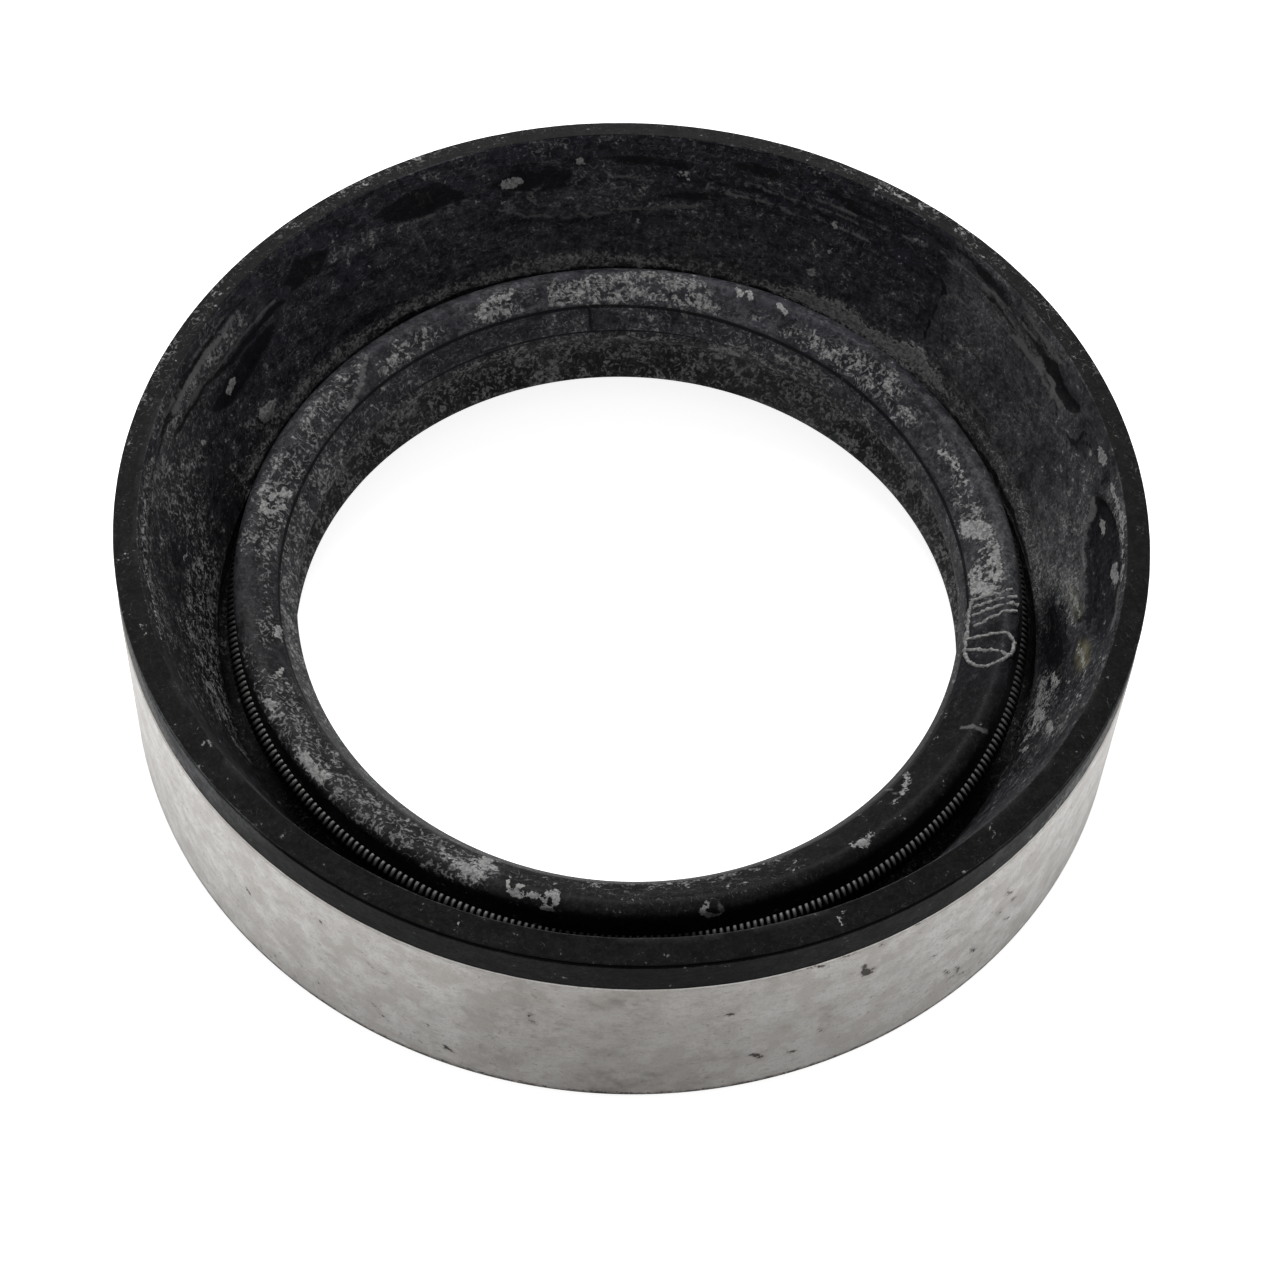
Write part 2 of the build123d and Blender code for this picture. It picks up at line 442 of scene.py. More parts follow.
sealMake["wallMarks"] = {
    "film": [
        (-0.95, 0, 0.45, leaf), (-0.9, 0, 0.6, wedge),
        (0.18, 2.4, 1.4, [(0.5, 7.6), (3, 9.4), (8, 11.2), (14, 12.4)]),
        (-0.8, 1.6, 2, [(330.5, 3), (331.5, 8), (333.5, 12.6)]), (0.45, 0, 0.8, lowDust),
        (0.38, 0, 0.9, backDust), (0.35, 0, 1.2, rightDust),
        (0.08, 0, 1.2, [(90, 5.2), (96, 3.6), (104, 4.6), (107, 5.8), (100, 6.5), (94, 6.2), (90, 5.2)]),
        (0.08, 0, 1, [(114, 4), (123, 3.9), (124, 5), (118, 5.8), (114, 5.2), (114, 4)]),
        (0.12, 0, 1, greyPatch), (0.1, 1.8, 0.9, [(148, 2.7), (158, 2.6), (168, 1.9), (180, 2.2)]),
    ],
    "dust": [
        (-0.85, 0, 0.5, leaf), (-0.3, 0, 0.6, wedge),
        (0.55, 1.4, 1.2, [(0.5, 7.8), (2.5, 9.4), (6, 11), (11, 12.6)]),
        (0.6, 0, 1, [(343, 8.4), (346, 8), (349, 9.6), (351, 11.4), (350, 12.8), (346, 12.2), (343, 8.4)]),
        (0.4, 0.9, 0.8, [(333, 3), (337, 6.4), (340.6, 9.6), (344, 12.4)]), (1, 0, 0.8, lowDust),
        (0.85, 0, 0.9, backDust), (0.38, 0, 1, leftCrumbs), (0.45, 0, 1, rightDust), (0.3, 0, 1, greyPatch),
        (0.35, 0.8, 0.8, [(101, 0.7), (107, 0.9)]), (0.35, 1.4, 0.9, [(150, 2.8), (160, 2.4), (170, 2)]),
        (0.5, 0.8, 0.8, [(176, 0.9), (188, 1.2), (200, 1.8)]),
        (0.6, 0, 0.8, [(338, 9.6), (342, 9), (345, 9.8), (347, 11.6), (346, 13), (341, 12.6), (338, 9.6)]),
    ],
    "dark": [
        # painted shade: dark lines along the lower and right edges of the leaf-shaped recess
        (0.84, 0.3, 0.5, leaf[5:13]),
        (0.84, 0.45, 0.6, [(1.5, 1.5), (5, 2.1), (7.7, 3), (7.9, 3.8), (7, 4.4)]),
        (0.64, 0.35, 0.6, [(5, 5.1), (2, 5.9), (358, 6.1), (354, 5.9)]),
        (0.87, 0, 0.6, [(353.4, 6.2), (354.6, 6.4), (355.4, 7.2), (354.2, 7.2), (353.4, 6.2)]),
        (0.56, -0.7, 1.7, wedge), (0.8, 0.3, 0.5, [(9.6, 0.8), (9.9, 1.5)]),
        (0.9, 0, 0.5, [(16.7, 1.9), (17.5, 2.1), (18, 3.1), (17.1, 2.8), (16.7, 1.9)]),
        (0.94, 0, 0.5, [(20.2, 1.8), (21.2, 1.6), (23.6, 1.9), (25.9, 2.2), (25.4, 2.9), (22.8, 3.1),
         (21.8, 2.9), (20.2, 1.8)]),
        (0.77, 0.5, 0.7, [(30, 1), (36, 0.6), (48, 0.7), (62, 0.9)]),
        (0.68, 0.3, 0.5, [(62, 1.5), (72, 1.6)]), (0.68, 0.25, 0.5, [(36, 2.2), (48, 2.4)]),
        (0.97, 0.32, 0.5, [(46.9, 4.4), (47.8, 4), (48.8, 3.7)]), (0.97, 0.3, 0.5, longCrack),
        (0.92, 0.1, 0.6, crackPatch),
        (0.88, 0.5, 0.7, [(31, 1.9), (34, 1.5), (37, 1.5), (40, 1.1), (44, 0.9)]),
        (0.85, 0.3, 0.5, [(27, 3.2), (24.4, 3.3), (22.6, 3.9)]),
        (0.8, 0.25, 0.5, [(33, 2.6), (37, 2.2), (41, 2.1)]),
        (0.9, 0.32, 0.5, [(15.4, 2.2), (16.6, 2.9), (18.6, 3.8)]),
        (0.9, 0.4, 0.5, [(8.8, 1.3), (9.6, 2.2)]), (0.85, 0.25, 0.5, [(17, 3.6), (20.4, 4.2)]),
        # painted shade along the lip's outline on the wall, then dark patches of the rubber itself
        (1, 0.45, 0.5, creviceShade), *[(0.76, 0.2, 0.9, outline) for outline in darkPatches],
        (0.8, 0.4, 0.7, [(58, 3.4), (68, 3.5), (78, 3.3), (86, 3.1)]),
        (0.7, 0.3, 0.9, [(56, 1.7), (62, 1.9), (67, 1.6), (63, 2.7), (56, 1.7)]), (1, 0.46, 0.5, fold),
        (0.68, 0.2, 0.5, [(170, 2.9), (178, 2.6), (186, 2.3)]),
        (0.84, 0.4, 0.6, [(149, 1.3), (158, 1.2), (165, 0.9), (172, 1.2)]),
        (0.75, 0.3, 0.5, [(160, 1.2), (176, 1.4), (190, 2.1), (202, 3), (212, 4)]),
    ],
    "line": [
        (0.81, 0.31, 0.6, [(347, 1), (353, 0.9)]),
        (0.77, 0.31, 0.5, [(8.8, 3.4), (6.2, 5.5), (2.5, 6.5), (358, 6.8)]),
        (0.78, 0.26, 0.5, [(22.4, 3.4), (25.4, 3.2), (27.2, 2.8)]),
        (0.79, 0.22, 0.5, [(26, 2.8), (31, 3.1), (36, 3.3), (43, 3.5)]),
        (0.77, 0.26, 0.5, [(31, 1.6), (38, 1.4), (50, 1.7)]),
        (0.83, 0.31, 0.5, [(44.2, 4.1), (45.6, 4.1), (46.6, 4.6)]),
        (0.9, 0.26, 0.5, [(25, 3.6), (28, 3.5), (31, 3), (35, 2.7)]),
        (0.85, 0.26, 0.5, [(27, 1.1), (32, 0.8), (38, 0.5)]),
        (0.8, 0.24, 0.5, [(29, 2.6), (35, 2.2), (42, 1.8)]),
        (0.85, 0.3, 0.5, [(18.4, 4.4), (21.6, 4.8), (24, 4.6)]),
        (0.8, 0.2, 0.45, [(52, 2.2), (60, 2.4), (68, 2.6)]),
        (0.75, 0.18, 0.45, [(62, 3), (72, 3.2), (78, 2.9)]),
        (0.79, 0.26, 0.5, [(33, 10.3), (38, 10.5), (42, 10.6)]),
        (0.88, 0.2, 0.45, [(60, 4), (70, 4.15), (80, 3.9)]),
        (0.92, 0.22, 0.45, [(80, 3.9), (88, 3.6), (94, 3.4), (97, 2.9)]), (0.88, 0.2, 0.45, sag),
        (0.77, 0.26, 0.5, [(104.6, 3.8), (106.6, 4.6), (105.8, 5.4)]),
        (0.77, 0.26, 0.5, [(107.6, 4), (109.4, 4.9)]),
        (0.78, 0.24, 0.5, [(114.5, 3.8), (120, 3.85), (126, 3.7)]),
        (0.9, 0.31, 0.5, [(151, 1.8), (160, 1.6), (168, 1.4)]),
        (0.85, 0.26, 0.5, [(145, 3.4), (151, 3.5), (156, 3.5), (161, 3), (166, 2.5)]),
        (0.62, 0.28, 0.5, [(152, 0.9), (162, 0.8), (174, 1), (186, 1.5), (196, 2), (206, 2.8), (213, 3.6)]),
        (0.58, 0.24, 0.5, [(158, 1.6), (168, 1.5), (178, 1.9), (188, 2.4)]),
        (0.62, 0.3, 0.5, [(340.8, 7.6), (343.2, 8.8), (344.4, 10)]),
        (0.62, 0.3, 0.5, [(351.5, 6.8), (353, 8), (354.6, 9.2)]),
    ],
    "chalk": [
        (0.89, 0, 0.6, [(354.5, 2.3), (356, 1.9), (358.6, 2.4), (358.8, 2.9), (356.5, 3.1), (354.5, 2.3)]),
        (0.91, 0, 0.6, [(4.2, 3.9), (5.2, 3.4), (6.6, 3.7), (6.3, 4.2), (4.8, 4.2), (4.2, 3.9)]),
        (0.83, 0.41, 0.6, [(354, 0.7), (0, 0.5), (4, 0.7), (8, 1.1)]),
        (0.77, 0.36, 0.6, [(0, 1.1), (5, 1.4)]),
        (0.81, 0.5, 0.6, [(345.2, 4.6), (347.2, 5.4), (349.4, 6.4)]),
        (0.79, 0.36, 0.6, [(341.5, 3.4), (344.4, 4.2)]),
        (0.85, 0.5, 0.6, [(355.5, 6.9), (359, 8), (1, 8.5)]),
        (0.81, 0.6, 0.6, [(345.6, 8.4), (348.4, 10.2)]), (0.79, 0.8, 0.7, [(335.5, 5.6), (338.4, 7.6)]),
        (0.78, 0.6, 0.6, [(341.4, 9.6), (344.6, 11.6)]), (0.77, 0.4, 0.5, [(337.4, 2), (339.6, 3.6)]),
        (0.92, 0, 0.6, [(10.6, 0.7), (12.2, 0.7), (13.8, 1.1), (13.6, 1.5), (12.3, 1.8), (11.2, 1.5),
         (10.6, 0.7)]),
        (0.68, 0, 1, lowDust), (0.52, 0, 1, backDust), (0.34, 0, 1.4, rightDust),
        (0.3, 0, 1.4, [(346, 12.4), (344, 10), (339, 8.6), (336, 10.6), (340, 13.4), (346, 12.4)]),
        (0.8, 0.5, 0.8, [(48, 10.6), (52, 11.2), (60, 11.2), (66, 11.2)]), (0.91, 0.6, 0.6, [(64.9, 4)]),
        (0.89, 0.6, 0.6, [(64.4, 6.15)]), (0.85, 0.5, 0.6, [(66.4, 8.8), (67.2, 8.7)]),
        (0.87, 0.45, 0.5, [(91.3, 7.2)]), (0.81, 0.4, 0.5, [(79.6, 10.3)]),
        (0.79, 0.4, 0.5, [(117.6, 1.7)]),
        (0.98, 0, 0.5, [(98.2, 1.8), (99.4, 1.65), (100.3, 1.9), (99.8, 2.4), (98.6, 2.35), (98.2, 1.8)]),
        (0.92, 0, 0.5, [(107.2, 2.9), (108.4, 2.55), (110, 2.7), (110.3, 3.1), (108.8, 3.5), (107.4, 3.35),
         (107.2, 2.9)]),
        (0.83, 0.4, 0.5, [(130, 5.8)]), (0.81, 0.5, 0.6, [(84.8, 3), (86.2, 2.8)]),
        (0.96, 0, 0.5, [(155.9, 5.4), (157, 5.2), (158.1, 5.6), (157.6, 6.1), (156.4, 6), (155.9, 5.4)]),
        (0.96, 0, 0.5, [(151.6, 10.2), (153, 9.8), (155, 9.6), (156, 10.1), (155.6, 10.8), (154, 11.2),
         (152.8, 11.4), (152.6, 10.8), (151.6, 10.2)]),
        (0.87, 0.45, 0.5, [(165.8, 6.2), (166.4, 6)]), (0.79, 0.4, 0.5, [(169.3, 5.4)]),
        (0.81, 0.4, 0.5, [(182.2, 7.9), (182.8, 7.6)]), (0.79, 0.41, 0.5, [(178.4, 11.2)]),
        (0.78, 0.36, 0.6, [(182, 1), (190, 0.9), (197, 1.6), (202, 1.3)]),
        (0.62, 0.5, 0.5, [(196, 11.2), (198, 10.6)]), (0.6, 0.45, 0.5, [(205, 12.2)]),
        (0.6, 0.45, 0.5, [(188.6, 9.3)]), (0.62, 0.5, 0.5, [(209.4, 9.6)]),
        (0.66, 0.45, 0.5, [(339.4, 12.2), (341.4, 11), (343.6, 11.2)]),
        (0.64, 0.35, 0.5, [(334.6, 8.8), (336.6, 10), (337.6, 11.8)]),
    ],
    "warm": [
        (0.95, 0.35, 0.7, [(344.5, 3.8), (347, 4.4), (349.8, 6.2), (347.5, 6.2), (345.5, 5.2),
         (344.5, 3.8)]),
        (0.75, 0.6, 0.7, [(355.5, 6.9), (359, 8), (0.5, 8.4)]),
    ],
    "lift": [
        (-0.45, 0, 0.5, leaf),
        (-0.25, 0, 0.6, [(20.2, 1.8), (23.6, 1.9), (25.9, 2.2), (25.4, 2.9), (22.8, 3.1), (20.2, 1.8)]),
        (-0.12, 0.4, 0.5, longCrack), (-0.2, 0, 0.7, crackPatch),
        (0.12, 0.6, 0.5, [(107.3, 3), (109.6, 3)]),
        (0.1, 0.5, 0.6, [(60, 4), (70, 4.15), (80, 3.9), (88, 3.6), (94, 3.4), (97, 2.9)]),
        (0.1, 0.6, 0.6, sag), (0.2, 1.6, 0.8, [(150, 2.7), (158, 2.6), (168, 1.9)]),
        (0.15, 0, 0.6, [(152, 10.2), (155, 9.7), (155.8, 10.4), (154, 11), (152, 10.2)]),
    ],
}


def wearWall(wall, marks):
    on = rubber.inZone("wall")
    turned = rubber.roughen(rubber.theta, patch=1.0)[on]
    film = levelMap(turned, rubber.along[on], wall["filmStations"], wall["film"])
    rubber.paint["film"][on] = film * rubber.roughen(1, broad=0.7, patch=0.4)[on]
    rubber.paint["dust"][on] = levelRound(turned, wall["dust"]) * rubber.roughen(1, broad=0.9, patch=0.6)[on]
    theta = rubber.roughen(rubber.theta, crumb=0.5, patch=0.7)
    s = rubber.roughen(rubber.along, crumb=0.18, patch=0.22, wrinkle=0.25)
    rubber.mark(on, theta, s, wall["radius"], marks)
    rubber.paint["cool"][on] = levelRound(rubber.theta[on], wall["cool"])
    rubber.lift[on] += rubber.roughen(0, broad=0.05, patch=0.02, wrinkle=0.06)[on]


wearWall(sealMake["wall"], sealMake["wallMarks"])

# lip, where s runs over the crown and down the face
sealMake["lip"] = {
    "radius": 26.0,
    "crownFilm": {
        0: 0.2, 20: 0.17, 30: 0.11, 45: 0.1, 60: 0.11, 75: 0.14, 95: 0.17, 118: 0.16, 124: 0.12, 150: 0.12,
        170: 0.12, 185: 0.1, 199: 0.05, 205: 0.09, 230: 0.09, 250: 0.1, 256: 0.02, 275: 0.01, 300: 0,
        340: 0, 352: 0.02, 357: 0.1,
    },
    "slopeFilm": {
        0: 0.18, 10: 0.3, 24: 0.32, 27: 0.26, 40: 0.19, 60: 0.15, 90: 0.13, 120: 0.12, 150: 0.12, 160: 0.18,
        180: 0.24, 200: 0.28, 215: 0.34, 240: 0.3, 270: 0.15, 300: 0.08, 330: 0.08, 350: 0.14,
    },
    "slopeDust": {
        0: 0.45, 12: 0.3, 24: 0.3, 30: 0.4, 60: 0.35, 90: 0.28, 120: 0.28, 150: 0.32, 160: 0.5, 180: 0.55,
        200: 0.42, 230: 0.35, 270: 0.25, 330: 0.25,
    },
    "cool": {0: 0.4, 90: 0.8, 180: 0.3, 240: 0.05, 330: 0.05},
    "slide": {
        0: 0.9, 15: 0.95, 30: 0.85, 40: 0.65, 55: 0.4, 70: 0.2, 85: -0.1, 100: -0.2, 140: -0.2, 150: -0.15,
        160: -0.08, 170: 0, 200: 0, 270: 0, 320: 0.4, 345: 0.8,
    },
    "slideReach": ([2.2, 4.02, 4.5, 6.36], [0, 1, 1, 0]),
    "crownSlide": {0: 0.32, 30: 0.28, 55: 0.12, 90: 0, 320: 0, 340: 0.2},
    "crownReach": ([-0.8, 0.2, 1.6, 2.6], [0, 1, 1, 0]),
    "crownTop": (0.3, 1.2), "crownEnd": (4.1, 4.5), "crownDust": 0.1,
    # painted shade lines: along the step between crown and face, and along the contact edge below, with how
    # dark each is round the ring
    "stepPlace": 4.18, "stepHalf": 0.16,
    "stepDark": {
        0: 1, 60: 1, 90: 0.9, 130: 0.9, 150: 0.7, 160: 0.9, 180: 0.9, 200: 0.7, 240: 0.5, 300: 0.3,
        340: 0.6,
    },
    "contactPlace": 6.02, "contactHalf": 0.08,
    "contactDark": {0: 0.1, 50: 0.2, 75: 0.5, 90: 0.9, 130: 0.9, 145: 0.4, 180: 0.1},
    "relief": 0.012, "patchDust": 0.9, "patchChalk": 0.36, "patchSoft": 0.9,
    "patches": [
        (0.85, [(359.5, 1.8), (2.5, 2.4), (4.4, 3.6), (4.5, 4.6), (3, 4.9), (359.5, 4.9), (359.5, 1.8)]),
        (0.75, [(2, 1.7), (8, 1.7), (10, 2.4), (9.5, 3.6), (7, 4.3), (4, 4), (2.5, 3), (2, 1.7)]),
        (1, [(10, 2.1), (14, 2.4), (15, 3.4), (17, 4.4), (15.5, 4.9), (12.5, 4.6), (11, 3.8), (10, 2.1)]),
        (0.65, [(14, 2.4), (20, 2.6), (21.5, 3.6), (21, 4.4), (17.5, 4.6), (14, 2.4)]),
        (0.5, [(20, 2.6), (27, 2.5), (31, 2.9), (30, 3.7), (25, 4.1), (21, 4.3), (20, 2.6)]),
        (0.65, [(38.5, 2.6), (40, 3), (43, 4), (41, 4.6), (38, 4.6), (36.5, 4), (38.5, 2.6)]),
        (0.7, [(40, 2), (50, 1.8), (54, 2.2), (56, 3.4), (54, 4.3), (48, 4.4), (43, 4), (40, 2)]),
        (0.65, [(55, 2.4), (64, 2.8), (66, 3.6), (62, 4.1), (56, 4), (55, 2.4)]),
        (0.6, [(69, 2.9), (72, 3), (72, 3.8), (69, 3.8), (69, 2.9)]),
        (0.8, [(75.5, 3.2), (79, 3), (79.5, 2.2), (81, 1.3), (90, 1), (90, 3.9), (84, 4), (78, 3.9),
         (75.5, 3.2)]),
        (1, [(90, 1.2), (94, 1.6), (100, 1.6), (105, 1.8), (107, 3.4), (104, 3.8), (90, 3.8), (90, 1.2)]),
        (0.45, [(106, 1.8), (110, 1.6), (111, 2.6), (110, 3.4), (107, 3), (106, 1.8)]),
        (0.85, [(111.5, 1.6), (117, 1.8), (121, 3.6), (113, 3.6), (110.5, 3.7), (112, 2.6), (111.5, 1.6)]),
        (0.65, [(124.5, 3), (127, 2.2), (134, 2.2), (139, 2.8), (140, 3.7), (128, 3.7), (124.5, 3)]),
        (0.5, [(139, 1.2), (148, 1), (155, 1.3), (160, 2.4), (159, 3.8), (147, 3.8), (143, 3), (139, 1.2)]),
        (0.55, [(160, 1.2), (180, 0.8), (180, 3.9), (160, 3.9), (160, 1.2)]),
        (0.6, [(180, 2.4), (184, 2.6), (189, 3.2), (187, 3.8), (181, 3.2), (180, 2.4)]),
        (0.6, [(190, 3.2), (193, 2.4), (196, 1.8), (198.5, 2.2), (196.5, 3.4), (195, 4.2), (192.5, 3.8),
         (190, 3.2)]),
        (0.5, [(203, 0.5), (230, 0.3), (245, 0.3), (253, 0.8), (253, 2.2), (252, 3.8), (204, 3.6),
         (203, 0.5)]),
        (0.5, [(195, 0.3), (203, 0.3), (203, 1.2), (198, 1.1), (195, 0.3)]),
        (0.85, [(246, 1.9), (249, 1.3), (252, 1.8), (251.5, 3.9), (249.5, 3.9), (248, 2.4), (246, 1.9)]),
        (0.22, [(254, 2), (270, 2.2), (270, 4), (254, 4), (254, 2)]),
        (0.55, [(266, 3.3), (276, 3.5), (288, 3.6), (298, 3.9), (298, 4.4), (284, 4.3), (266, 4.2),
         (266, 3.3)]),
        (0.12, [(268, 0.9), (297, 1.2), (300, 2.6), (298, 3.6), (268, 3.8), (268, 0.9)]),
    ],
}
sealMake["lipMarks"] = {
    "dark": [
        (0.74, 0.3, 0.5, [(1.4, 2.6), (2.4, 3.6)]), (0.74, 0.3, 0.5, [(8.6, 3.1), (9.2, 3.6)]),
        (0.68, 0.25, 0.5, [(6, 3.4), (7.2, 3.6)]), (0.94, 0.4, 0.4, [(113, 2.6)]),
        (0.94, 0.4, 0.4, [(114.8, 2.6)]), (0.94, 0.25, 0.4, [(99.6, 4.1), (99.3, 5.8)]),
        (0.68, 0.15, 0.4, [(94.2, 4.2), (94, 5.7)]), (0.68, 0.15, 0.4, [(107, 4.2), (106.8, 5.7)]),
    ],
    "line": [
        (0.85, 0.31, 0.5, [(285.3, 0.4), (285.1, 0.8)]), (0.83, 0.21, 0.5, [(318.2, 3.4), (318.8, 4.8)]),
        (0.81, 0.26, 0.5, [(334.7, 0.5), (334.2, 1.4), (333.6, 2.7)]),
        (0.83, 0.26, 0.5, [(30.6, 3), (32.4, 2.5), (36.4, 2.4), (38, 3)]),
        (0.79, 0.31, 0.6, [(139, 1.7), (143, 3), (147.6, 3.8)]),
    ],
    "chalk": [
        (0.72, 0, 0.6, [(1.2, 2.4), (3, 2.2), (5.6, 1.9), (8.6, 2), (9.8, 3), (8.8, 4.2), (6.2, 4.6),
         (3.2, 4.8), (1, 4.6), (0.4, 3.4), (1.2, 2.4)]),
        (-0.9, 0.3, 0.45, [(2, 2.9), (2.8, 3.5)]), (-0.9, 0.35, 0.45, [(4.4, 2.6), (4.9, 3.2)]),
        (-0.9, 0.3, 0.45, [(6.6, 2.5), (6.9, 3.4), (6.2, 3.9)]),
        (-0.9, 0.3, 0.45, [(3.6, 4.1), (4.8, 4.3)]), (-0.9, 0.35, 0.45, [(8.4, 2.6), (8.2, 3.6)]),
        (-0.9, 0.3, 0.45, [(3.6, 3.4), (5.6, 3.5)]), (-0.85, 0.3, 0.45, [(7, 4.1), (7.8, 3.9)]),
        (-0.85, 0.3, 0.45, [(5.6, 2.2), (6.2, 2.8)]), (-0.8, 0.3, 0.45, [(0.8, 3.9), (1.8, 4.3)]),
        (0.94, 0.36, 0.5, [(284.9, 0.1), (283.3, 0.1), (282.4, 0.6), (283.4, 1.1)]),
        (0.6, 0.1, 0.8, [(305.8, 1.3), (308, 1), (310.6, 1.5), (310.2, 2.2), (307.5, 1.9), (305.8, 2.2),
         (305.8, 1.3)]),
        (0.58, 0.1, 0.7, [(316.8, 2.8), (319, 2.6), (321.4, 3.2), (323.4, 4.2), (322.8, 4.7), (320, 3.8),
         (318, 3.3), (316.8, 2.8)]),
        (0.5, 0.4, 0.6, [(329.3, 3.9), (330.8, 4.2)]),
        (0.52, 0.4, 0.6, [(331.8, 4.2), (334.2, 4.1), (336.6, 4.7)]),
        (0.91, 0, 0.8, [(10.4, 2.4), (13.5, 2.6), (14.6, 3.6), (16.2, 4.5), (13, 4.4), (11.2, 3.6),
         (10.4, 2.4)]),
        (0.81, 0.5, 0.6, [(0.5, 3.2), (2, 4.4)]), (0.81, 0.4, 0.6, [(4, 2.2), (6.5, 2.6), (8.2, 2.2)]),
        (0.79, 0.36, 0.6, [(22, 2.9), (27, 2.9), (29.6, 3.4)]), (0.89, 0.41, 0.5, [(66.6, 2.1), (68, 1.7)]),
        (0.91, 0.41, 0.5, [(72.6, 2), (73.4, 1.4)]), (0.92, 0.41, 0.5, [(74.4, 2), (75.4, 1.4)]),
        (0.83, 0.36, 0.6, [(112, 1.8), (113, 2.2), (116, 2.1), (118.4, 2.8)]),
        (0.85, 0.41, 0.6, [(167.6, 3.4), (169, 2.5), (172.2, 1.9), (173, 2.4), (170.4, 3.4)]),
        (0.87, 0.6, 0.6, [(194, 3.9), (195.2, 3.7)]), (0.85, 0.5, 0.6, [(202.4, 3.2), (203.6, 2.4)]),
        (0.81, 0.5, 0.7, [(207.4, 1), (209, 1.3)]), (0.81, 0.7, 0.8, [(218, 1), (223, 1.2)]),
        (0.7, 0.7, 0.8, [(247.4, 1.8), (250.6, 1.6)]), (0.66, 0.7, 0.8, [(250, 2.8), (250.4, 3.9)]),
        (0.85, 0.36, 0.5, [(255.6, 1), (254.6, 2.4)]),
        (1, 0, 0.5, [(260.2, 0.3), (262.4, 0.3), (263, 1.2), (262, 2), (260.8, 1.7), (260.2, 0.3)]),
        (0.85, 0.41, 0.5, [(256.4, 1), (257, 1.8)]), (0.83, 0.41, 0.5, [(257, 1), (260, 1.3)]),
        (-1, 0.32, 0.4, [(261.2, 0.8), (261.4, 1.1)]), (-1, 0.26, 0.4, [(262.2, 0.7)]),
    ],
}


def wearLip(lip, marks):
    on = rubber.inZone("face")
    along = rubber.along - sealMake["faceStart"]
    slide = levelRound(rubber.theta, lip["slide"]) * np.interp(along, *lip["slideReach"]) * on
    rubber.slideR -= slide * math.cos(sealMake["lipAngle"])
    rubber.slideZ -= slide * math.sin(sealMake["lipAngle"])
    crownSlide = levelRound(rubber.theta, lip["crownSlide"]) * on
    rubber.slideR -= crownSlide * np.interp(along, *lip["crownReach"])
    theta, s = rubber.theta[on], (along + slide)[on]
    below = smoothStep(*lip["crownEnd"], along[on])
    top = smoothStep(*lip["crownTop"], s) * 0.5 + 0.5
    patchy = rubber.roughen(1, broad=0.5, patch=0.5)[on]
    crown, slope = levelRound(theta, lip["crownFilm"]), levelRound(theta, lip["slopeFilm"])
    rubber.paint["film"][on] = patchy * (crown * top * (1 - below) + slope * below)
    fall = lip["crownDust"] + (1 - lip["crownDust"]) * below
    rubber.paint["dust"][on] = patchy * levelRound(theta, lip["slopeDust"]) * fall
    patches = {
        name: [(share * weight, 0, lip["patchSoft"], outline) for weight, outline in lip["patches"]]
        for name, share in (("dust", lip["patchDust"]), ("chalk", lip["patchChalk"]))
    }
    rubber.mark(
        on, rubber.roughen(rubber.theta, crumb=1.2, patch=1.2),
        rubber.roughen(along + slide, crumb=0.25, patch=0.25), lip["radius"], patches,
    )
    rubber.mark(
        on, rubber.roughen(rubber.theta, crumb=0.3), rubber.roughen(along + slide, crumb=0.08),
        lip["radius"], marks,
    )
    rubber.paint["cool"][on] = levelRound(theta, lip["cool"])
    # painted shade: a dark line along the lip's step and one along its contact edge
    for line in ("step", "contact"):
        near = np.abs(along[on] - lip[line + "Place"]) < lip[line + "Half"]
        rubber.darken("dark", on, levelRound(theta, lip[line + "Dark"]) * near)
    rubber.lift[on] += lip["relief"] * rubber.noise["patch"][on] * smoothStep(0, 1, along[on])


wearLip(sealMake["lip"], sealMake["lipMarks"])

# rim and band
sealMake["rim"] = {
    "radius": 35.0, "bandRadius": 36.0, "edgeDust": 1.6, "dustFall": 0.8,
    "dust": {
        0: 0.04, 20: 0.08, 35: 0.2, 65: 0.22, 80: 0.06, 105: 0.06, 115: 0.18, 130: 0.22, 150: 0.2,
        165: 0.22, 180: 0.08, 210: 0.03, 300: 0.03,
    },
    # painted sheen: the film paint on the band is strongest at its two ends, standing in for the reflection
    # of the bright surroundings at a grazing angle
    "bandSheen": {
        0: 0.2, 40: 0.15, 90: 0.15, 140: 0.15, 180: 0.25, 200: 0.85, 213: 1, 222: 0.45, 226: 0.04,
        245: 0.02, 252: 0.05, 262: 0.03, 272: 0.01, 285: 0.01, 292: 0.05, 312: 0.05, 317: 0.25, 325: 0.45,
        340: 0.4,
    },
    "bandFront": 62, "leanRight": 1.4, "leanLeft": -2.6, "bandDust": 0.1,
    # painted shade: the band's lowest strip where it meets the steel, and the notch under the rim's outer
    # edge
    "seamTop": 16.15, "seamDark": 0.9, "notchLow": 18.75, "notchHigh": 19.12, "notchDark": 1.0,
    "wear": 0.03,
}
sealMake["rimMarks"] = {
    "chalk": [
        (0.77, 0.4, 0.3, [(17, 0.6)]), (0.75, 0.4, 0.3, [(50, 1)]),
        (0.75, 0.4, 0.3, [(57, 0.9), (59, 0.9)]), (0.75, 0.4, 0.3, [(63, 0.8)]),
        (0.73, 0.4, 0.3, [(115, 0.9)]), (0.77, 0.4, 0.3, [(124, 1)]), (0.73, 0.4, 0.3, [(218, 1.1)]),
        (0.62, 0.41, 0.3, [(294.5, 0.5), (295.5, 1.4)]), (0.71, 0.4, 0.3, [(254, 0.8)]),
        (0.71, 0.4, 0.3, [(320, 1)]),
    ],
}
